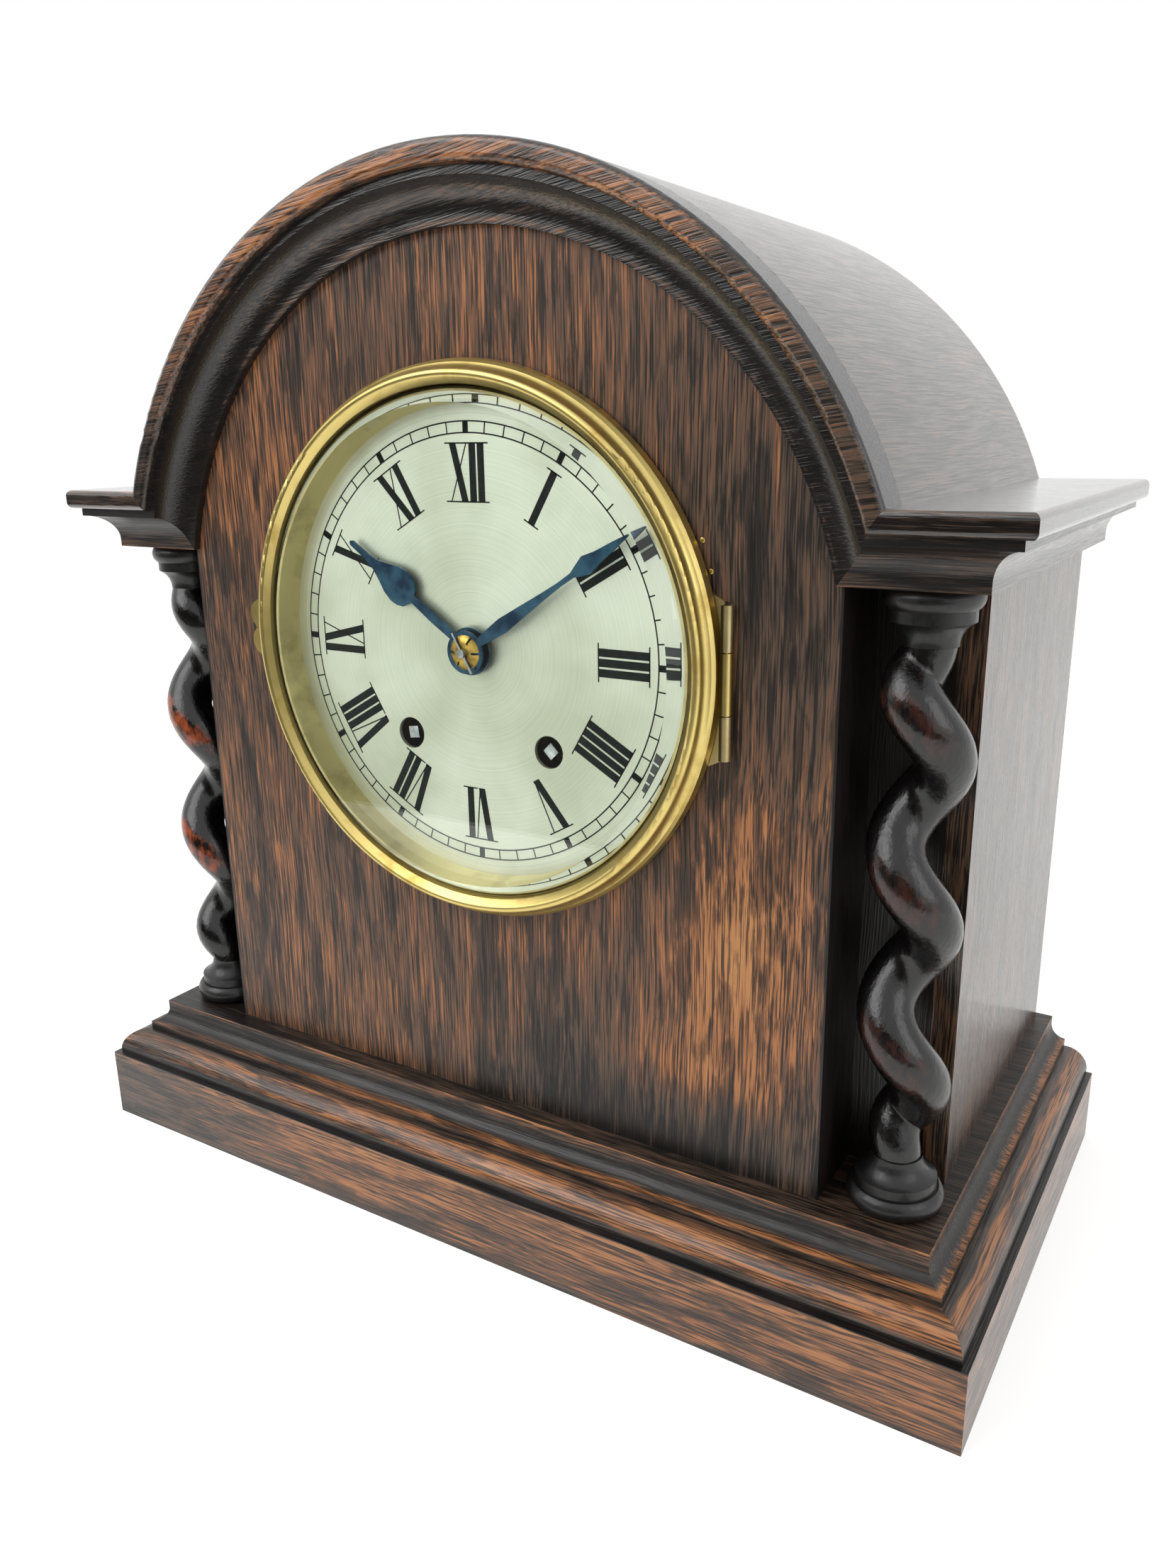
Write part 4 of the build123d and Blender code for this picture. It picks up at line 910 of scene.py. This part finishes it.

# Board, grain, stain rubbed all over, patches, heights worn and darkened by painted shade, place in the tree,
# roughness, coat, pieces
BOARDS = (
    ("arch moulding", "ARCH", -0.06, DARK_FLANKS, ARCH_WEAR_AND_SHADE, (0, 0, 0), 0.26, 0.5, ("arch_moulding",)),
    ("front panel", "Z", -0.06, PANEL_SPOTS, None, (0, 0, 0), 0.42, 0.0, ("front_panel",)),
    (
        "side boards", "Z", -0.12, (), None, (0.31, 0.12, 0), 0.2, 0.45,
        ("left_side_panel", "right_side_panel"),
    ),
    # Painted shade: the corner posts stand in the shaded recesses behind the columns and are made nearly
    # black
    (
        "dark corners", "Z", -0.4, (), None, (0.53, 0.4, 0), 0.3, 0.1,
        ("left_corner_post", "right_corner_post"),
    ),
    (
        "plinth front", "X", -0.02, DARK_END, PLINTH_WEAR_AND_SHADE, (0, 0.2, 0.1), 0.26, 0.15,
        ("plinth_front", "plinth_back"),
    ),
    ("plinth sides", "Y", -0.07, (), PLINTH_WEAR_AND_SHADE, (0.1, 0.7, 0), 0.26, 0.15, ("plinth_left", "plinth_right")),
    ("platform", "X", -0.07, DARK_END, PLATFORM_WEAR_AND_SHADE, (0, 0.5, 0.4), 0.36, 0.05, ("platform_board",)),
    (
        "cornice front", "X", -0.14, (), CORNICE_WEAR_AND_SHADE, (0, 0.1, 0.9), 0.34, 0.15,
        ("left_cornice_front", "right_cornice_front"),
    ),
    (
        "cornice sides", "Y", -0.14, (), CORNICE_WEAR_AND_SHADE, (0.4, 0.1, 0.9), 0.22, 0.5,
        ("left_cornice_side", "right_cornice_side"),
    ),
    ("shelf ends", "X", -0.12, (), SHELF_WEAR_AND_SHADE, (0, 0.9, 0.3), 0.14, 1.0, ("left_shelf", "right_shelf")),
    ("roof", "Y", -0.14, (), None, (0.2, 0.6, 0), 0.22, 0.6, ("roof_shell",)),
    ("back boards", "Z", -0.06, (), None, (0.7, 0.2, 0), 0.42, 0.15, ("back_frame", "back_door")),
    ("base board", "X", -0.03, (), None, (0.1, 0.2, 0.7), 0.5, 0.15, ("base_board",)),
)


# Operators
class CLOCK_OT_oak_case(bpy.types.Operator):
    """Stains and varnishes the boards and mouldings of the case"""

    bl_idname = "clock.oak_case"
    bl_label = "Oak case"

    def execute(self, context):
        for board, *looks, names in BOARDS:
            dress(stained_oak("Stained oak, " + board, *looks), *names)
        return {"FINISHED"}


class CLOCK_OT_columns(bpy.types.Operator):
    """Carves, polishes and wears the twisted columns"""

    bl_idname = "clock.columns"
    bl_label = "Twisted columns"

    def execute(self, context):
        sizes = context.scene.clock_columns
        colours = context.scene.clock_finishes
        sides = (
            ("left", sizes.left_start, colours.left_worn),
            ("right", sizes.right_start, colours.right_worn),
        )
        for side, start, worn in sides:
            name = side + "_column"
            low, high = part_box(name)
            axis = (low + high) / 2
            twist = (low.z + sizes.foot, high.z - sizes.cap)
            strand = twisted_strand(axis, *twist, start, sizes)
            foot = cut_end(name, twist[0], keep_low=True)
            cap = cut_end(name, twist[1], keep_low=False)
            whole = joined([foot, cap, strand], name + "_carved")
            polish = worn_column_oak("Black-polished oak, " + side + " column", axis, worn, twist)
            hand_over(whole, "case", polish)
            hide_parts(name)
        return {"FINISHED"}


class CLOCK_OT_brasswork(bpy.types.Operator):
    """Finishes the bezel, its hinge and the dial surround"""

    bl_idname = "clock.brasswork"
    bl_label = "Bezel and surround"

    def execute(self, context):
        colours = context.scene.clock_finishes
        bezel = turned_brass("Polished brass, turned", colours.brass, colours.brass_old, 0.3, 0.4)
        dress(bezel, "bezel_ring", "bezel_hinge_leaf", "glass_retainer")
        surround = turned_brass("Brass, turned and dulled", linear("#cfbf8c"), linear("#a5966a"), 0.36, 0.5)
        dress(surround, "dial_surround")
        hinges = rolled_metal("Brass, rolled", colours.brass, colours.brass_old, 0.32, 9.0)
        dress(hinges, "back_hinge_frame_leaves", "back_hinge_door_leaves", "door_catch")
        dress(bevelled_plate_glass("Plate glass, bevelled"), "bezel_glass")
        return {"FINISHED"}


class CLOCK_OT_dial(bpy.types.Operator):
    """Silvers the dial and fills its numerals and minute track"""

    bl_idname = "clock.dial"
    bl_label = "Dial"

    def execute(self, context):
        marks = context.scene.clock_dial_marks
        dress(silvered_brass("Brass, silvered in circles"), "dial_plate")
        wax = engraver_wax("Engraver's wax, black")
        hand_over(dial_numerals(marks), "case", wax)
        hand_over(minute_track(marks), "case", wax)
        return {"FINISHED"}


class CLOCK_OT_hands(bpy.types.Operator):
    """Blues the hands and finishes their fixings"""

    bl_idname = "clock.hands"
    bl_label = "Hands"

    def execute(self, context):
        colours = context.scene.clock_finishes
        blued = rolled_metal("Steel, heat-blued", colours.blue_steel, linear("#1d2f45"), 0.3, 6.0)
        dress(blued, "hour_hand", "minute_hand")
        washer = rolled_metal("Brass, pressed", colours.movement_brass, linear("#7d6330"), 0.34, 3.0)
        dress(washer, "hand_washer")
        steel = rolled_metal("Steel, polished", colours.steel, linear("#8d9092"), 0.22, 5.0)
        dress(steel, "taper_pin", "going_winding_arbor", "strike_winding_arbor")
        return {"FINISHED"}


class CLOCK_OT_movement(bpy.types.Operator):
    """Finishes the movement, pendulum and gong"""

    bl_idname = "clock.movement"
    bl_label = "Movement"

    def execute(self, context):
        colours = context.scene.clock_finishes
        brass = colours.movement_brass
        plates = rolled_metal("Brass, rolled and stoned", brass, linear("#b3923f"), 0.3, 18.0)
        dress(plates, "front_plate", "back_plate", "plate_pillars", "dial_feet")
        dress(plates, "going_barrel", "strike_barrel", "pendulum_bob", "rating_nut")
        wheels = rolled_metal("Brass, cut wheels", brass, colours.brass_old, 0.26, 6.0)
        dress(wheels, "hour_wheel", "minute_wheel", "cannon_pinion")
        steel = rolled_metal("Steel, turned and polished", colours.steel, linear("#7f8385"), 0.25, 7.0)
        dress(steel, "centre_arbor", "second_wheel", "third_wheel", "escape_wheel", "pin_wheel")
        dress(steel, "pallet_anchor", "hammer", "pendulum_rod", "movement_brackets")
        coil = rolled_metal("Steel wire, heat-blued", linear("#30405a"), linear("#1b2330"), 0.3, 10.0)
        dress(coil, "gong_coil")
        iron = rolled_metal("Iron, cast and blacked", colours.iron, linear("#1a1a1b"), 0.55, 3.0)
        dress(iron, "gong_stand")
        return {"FINISHED"}


# Places of the panel's tacks across and up the clock, in millimetres
TACKS = ((74.2, 223.5), (76.7, 215.8))


class CLOCK_OT_fittings(bpy.types.Operator):
    """Drives the hinge screws, catch screw, pillar nuts, gong screws and panel tacks"""

    bl_idname = "clock.fittings"
    bl_label = "Screws and tacks"

    def execute(self, context):
        sizes = context.scene.clock_fittings
        colours = context.scene.clock_finishes
        brass = rolled_metal("Brass, turned screws", colours.brass, colours.brass_old, 0.3, 1.5)
        steel = rolled_metal("Steel, turned screws", colours.steel, linear("#6f7376"), 0.3, 1.5)
        screw = domed_head(sizes.screw_head, sizes.screw_rise, sizes.screw_slot)
        leaf_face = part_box("back_frame")[1].y + sizes.leaf_sheet
        hinges = (("back_hinge_frame_leaves", "case"), ("back_hinge_door_leaves", "back_door_body"))
        for leaves, body in hinges:
            low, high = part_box(leaves)
            x = high.x - sizes.screw_inset if body == "case" else low.x + sizes.screw_inset
            middles = (low.z + sizes.leaf_height / 2, high.z - sizes.leaf_height / 2)
            reach = sizes.leaf_height / 3
            spots = [(x, leaf_face, middle + side * reach) for middle in middles for side in (-1, 1)]
            hand_over(set_out(screw, "back", spots, leaves + "_screws"), body, brass)
        low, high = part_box("door_catch")
        spot = ((low.x + high.x) / 2, high.y, (low.z + high.z) / 2)
        hand_over(set_out(screw, "back", [spot], "catch_screw"), "catch", brass)
        low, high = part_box("gong_stand")
        spots = [
            (x, (low.y + high.y) / 2, low.z + sizes.gong_foot)
            for x in (low.x + sizes.screw_inset, high.x - sizes.screw_inset)
        ]
        hand_over(set_out(screw, "up", spots, "gong_screws"), "case", steel)
        bpy.data.objects.remove(screw)
        low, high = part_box("plate_pillars")
        nut = pillar_nut(sizes.nut, sizes.nut_height)
        spots = [
            (x, high.y + sizes.plate, z)
            for x in (low.x + sizes.pillar, high.x - sizes.pillar)
            for z in (low.z + sizes.pillar, high.z - sizes.pillar)
        ]
        hand_over(set_out(nut, "back", spots, "pillar_nuts"), "case", steel)
        bpy.data.objects.remove(nut)
        tack = domed_head(sizes.tack, 0.6 * sizes.tack)
        spots = [(x * MM, panel_low.y, z * MM) for x, z in TACKS]
        hand_over(set_out(tack, "front", spots, "panel_tacks"), "case", brass)
        bpy.data.objects.remove(tack)
        return {"FINISHED"}


# Stage sizes in metres: the card's middle, size and upright edge, and each lamp's place and size
CARD_PLACE, CARD_SIZE, CARD_RISE = (-0.7, -1.125, 0.002), (4.4, 1.45, 1), 0.9
KEY_PLACE, KEY_SIZE = (-0.9, -1.2, 1.2), 1.2
FILL_PLACE, FILL_SIZE = (1.6, -0.4, 0.9), 1.0
LAMP_TARGET = Vector((0, 0, 0.16))
FLOOR_SIZE = 8

# A ray mirrored by the glass passes its faces twice, and one from the dial more often
GLASS_PASSES = 2.5


class CLOCK_OT_stage(bpy.types.Operator):
    """Sets the floor, the lamps, the white room and the camera of the photograph"""

    bl_idname = "clock.stage"
    bl_label = "Photo stage"

    def execute(self, context):
        stage = context.scene.clock_photo_stage
        self.floor(stage)
        self.card(stage)
        self.lamp("key_lamp", KEY_PLACE, KEY_SIZE, stage.key_power)
        self.lamp("fill_lamp", FILL_PLACE, FILL_SIZE, stage.fill_power)
        self.room(context.scene, stage)
        self.camera(context.scene, stage)
        context.scene.view_settings.view_transform = "Standard"
        return {"FINISHED"}

    def floor(self, stage):
        bpy.ops.object.select_all(action="DESELECT")
        bpy.ops.mesh.primitive_plane_add(size=FLOOR_SIZE)
        floor = bpy.context.object
        floor.name = "floor"
        finish, tree, shader = new_finish("Paper, white and matt")
        shader.inputs["Base Color"].default_value = stage.floor_colour
        shader.inputs["Roughness"].default_value = 0.9
        shader.inputs["Emission Color"].default_value = grey(1)
        lift = reckon(tree, "MULTIPLY", self.seen_rays(tree), stage.floor_lift)
        plug(tree, shader, Emission_Strength=lift)
        floor.data.materials.append(finish)

    def card(self, stage):
        """A dark card before the clock, lying on the floor and standing up behind the camera. Only
        reflections see it, so it is a painted dark reflection standing for the dim room in front.
        """
        bpy.ops.object.select_all(action="DESELECT")
        bpy.ops.mesh.primitive_plane_add(size=1, location=CARD_PLACE)
        card = bpy.context.object
        card.name = "card"
        card.scale = CARD_SIZE
        settle()
        bpy.ops.object.mode_set(mode="EDIT")
        bpy.ops.mesh.select_all(action="DESELECT")
        shape = bmesh.from_edit_mesh(card.data)
        for edge in shape.edges:
            edge.select = all(point.co.y < CARD_PLACE[1] for point in edge.verts)
        bmesh.update_edit_mesh(card.data)
        bpy.ops.mesh.extrude_edges_move(TRANSFORM_OT_translate={"value": (0, 0, CARD_RISE)})
        bpy.ops.object.mode_set(mode="OBJECT")
        finish, tree, shader = new_finish("Card, dark and matt")
        shader.inputs["Base Color"].default_value = stage.card_colour
        shader.inputs["Roughness"].default_value = 0.9
        # The glass mirrors the card on both its faces, and the light on its way to the dial passes it
        rays = node(tree, "ShaderNodeLightPath").outputs
        deep = reckon(tree, "GREATER_THAN", rays["Transmission Depth"], GLASS_PASSES)
        passing = reckon(tree, "MAXIMUM", deep, rays["Diffuse Depth"])
        clear = node(tree, "ShaderNodeBsdfTransparent").outputs["BSDF"]
        mix_shaders(tree, passing, shader, clear)
        card.data.materials.append(finish)
        # Hidden from the camera, from diffuse light and from shadows, so it shows only as a painted dark
        # reflection
        card.visible_camera = False
        card.visible_diffuse = False
        card.visible_shadow = False

    def seen_rays(self, tree):
        """One for rays that the picture, a gloss or the glass looks along, and nought for the rest."""
        rays = node(tree, "ShaderNodeLightPath").outputs
        mirrored = reckon(tree, "MAXIMUM", rays["Is Camera Ray"], rays["Is Glossy Ray"])
        return reckon(tree, "MAXIMUM", mirrored, rays["Is Transmission Ray"])

    def lamp(self, name, place, size, power):
        bpy.ops.object.light_add(type="AREA", location=place)
        lamp = bpy.context.object
        lamp.name = name
        lamp.data.energy = power
        lamp.data.size = size
        aim = LAMP_TARGET - Vector(place)
        lamp.rotation_euler = aim.to_track_quat("-Z", "Y").to_euler()

    def room(self, scene, stage):
        world = bpy.data.worlds.new("White room")
        world.use_nodes = True
        tree = world.node_tree
        strength = spread(tree, self.seen_rays(tree), 0, 1, stage.sky_light, 1.0)
        background = tree.nodes["Background"]
        background.inputs["Color"].default_value = grey(1)
        tree.links.new(strength, background.inputs["Strength"])
        scene.world = world

    def camera(self, scene, stage):
        bpy.ops.object.camera_add(location=stage.camera_place, rotation=stage.camera_turn)
        camera = bpy.context.object
        camera.data.sensor_fit = "VERTICAL"
        camera.data.sensor_height = 36
        camera.data.lens = stage.camera_lens
        camera.data.clip_start = 0.01
        scene.camera = camera


class CLOCK_PT_steps(bpy.types.Panel):
    """Lists the steps that finish the clock"""

    bl_label = "Mantel clock"
    bl_idname = "CLOCK_PT_steps"
    bl_space_type = "VIEW_3D"
    bl_region_type = "UI"
    bl_category = "Clock"

    def draw(self, context):
        for step in STEPS:
            self.layout.operator(step.bl_idname)


STEPS = (
    CLOCK_OT_oak_case,
    CLOCK_OT_columns,
    CLOCK_OT_brasswork,
    CLOCK_OT_dial,
    CLOCK_OT_hands,
    CLOCK_OT_movement,
    CLOCK_OT_fittings,
    CLOCK_OT_stage,
)
GROUPS = (
    (ClockFinishes, "clock_finishes"),
    (ClockDialMarks, "clock_dial_marks"),
    (ClockColumns, "clock_columns"),
    (ClockFittings, "clock_fittings"),
    (ClockPhotoStage, "clock_photo_stage"),
)


def register():
    for group, name in GROUPS:
        bpy.utils.register_class(group)
        setattr(bpy.types.Scene, name, bpy.props.PointerProperty(type=group))
    for step in STEPS:
        bpy.utils.register_class(step)
    bpy.utils.register_class(CLOCK_PT_steps)


def unregister():
    bpy.utils.unregister_class(CLOCK_PT_steps)
    for step in reversed(STEPS):
        bpy.utils.unregister_class(step)
    for group, name in reversed(GROUPS):
        delattr(bpy.types.Scene, name)
        bpy.utils.unregister_class(group)


def main():
    register()
    bpy.ops.clock.oak_case()
    bpy.ops.clock.columns()
    bpy.ops.clock.brasswork()
    bpy.ops.clock.dial()
    bpy.ops.clock.hands()
    bpy.ops.clock.movement()
    bpy.ops.clock.fittings()
    bpy.ops.clock.stage()


if __name__ == "__main__":
    main()
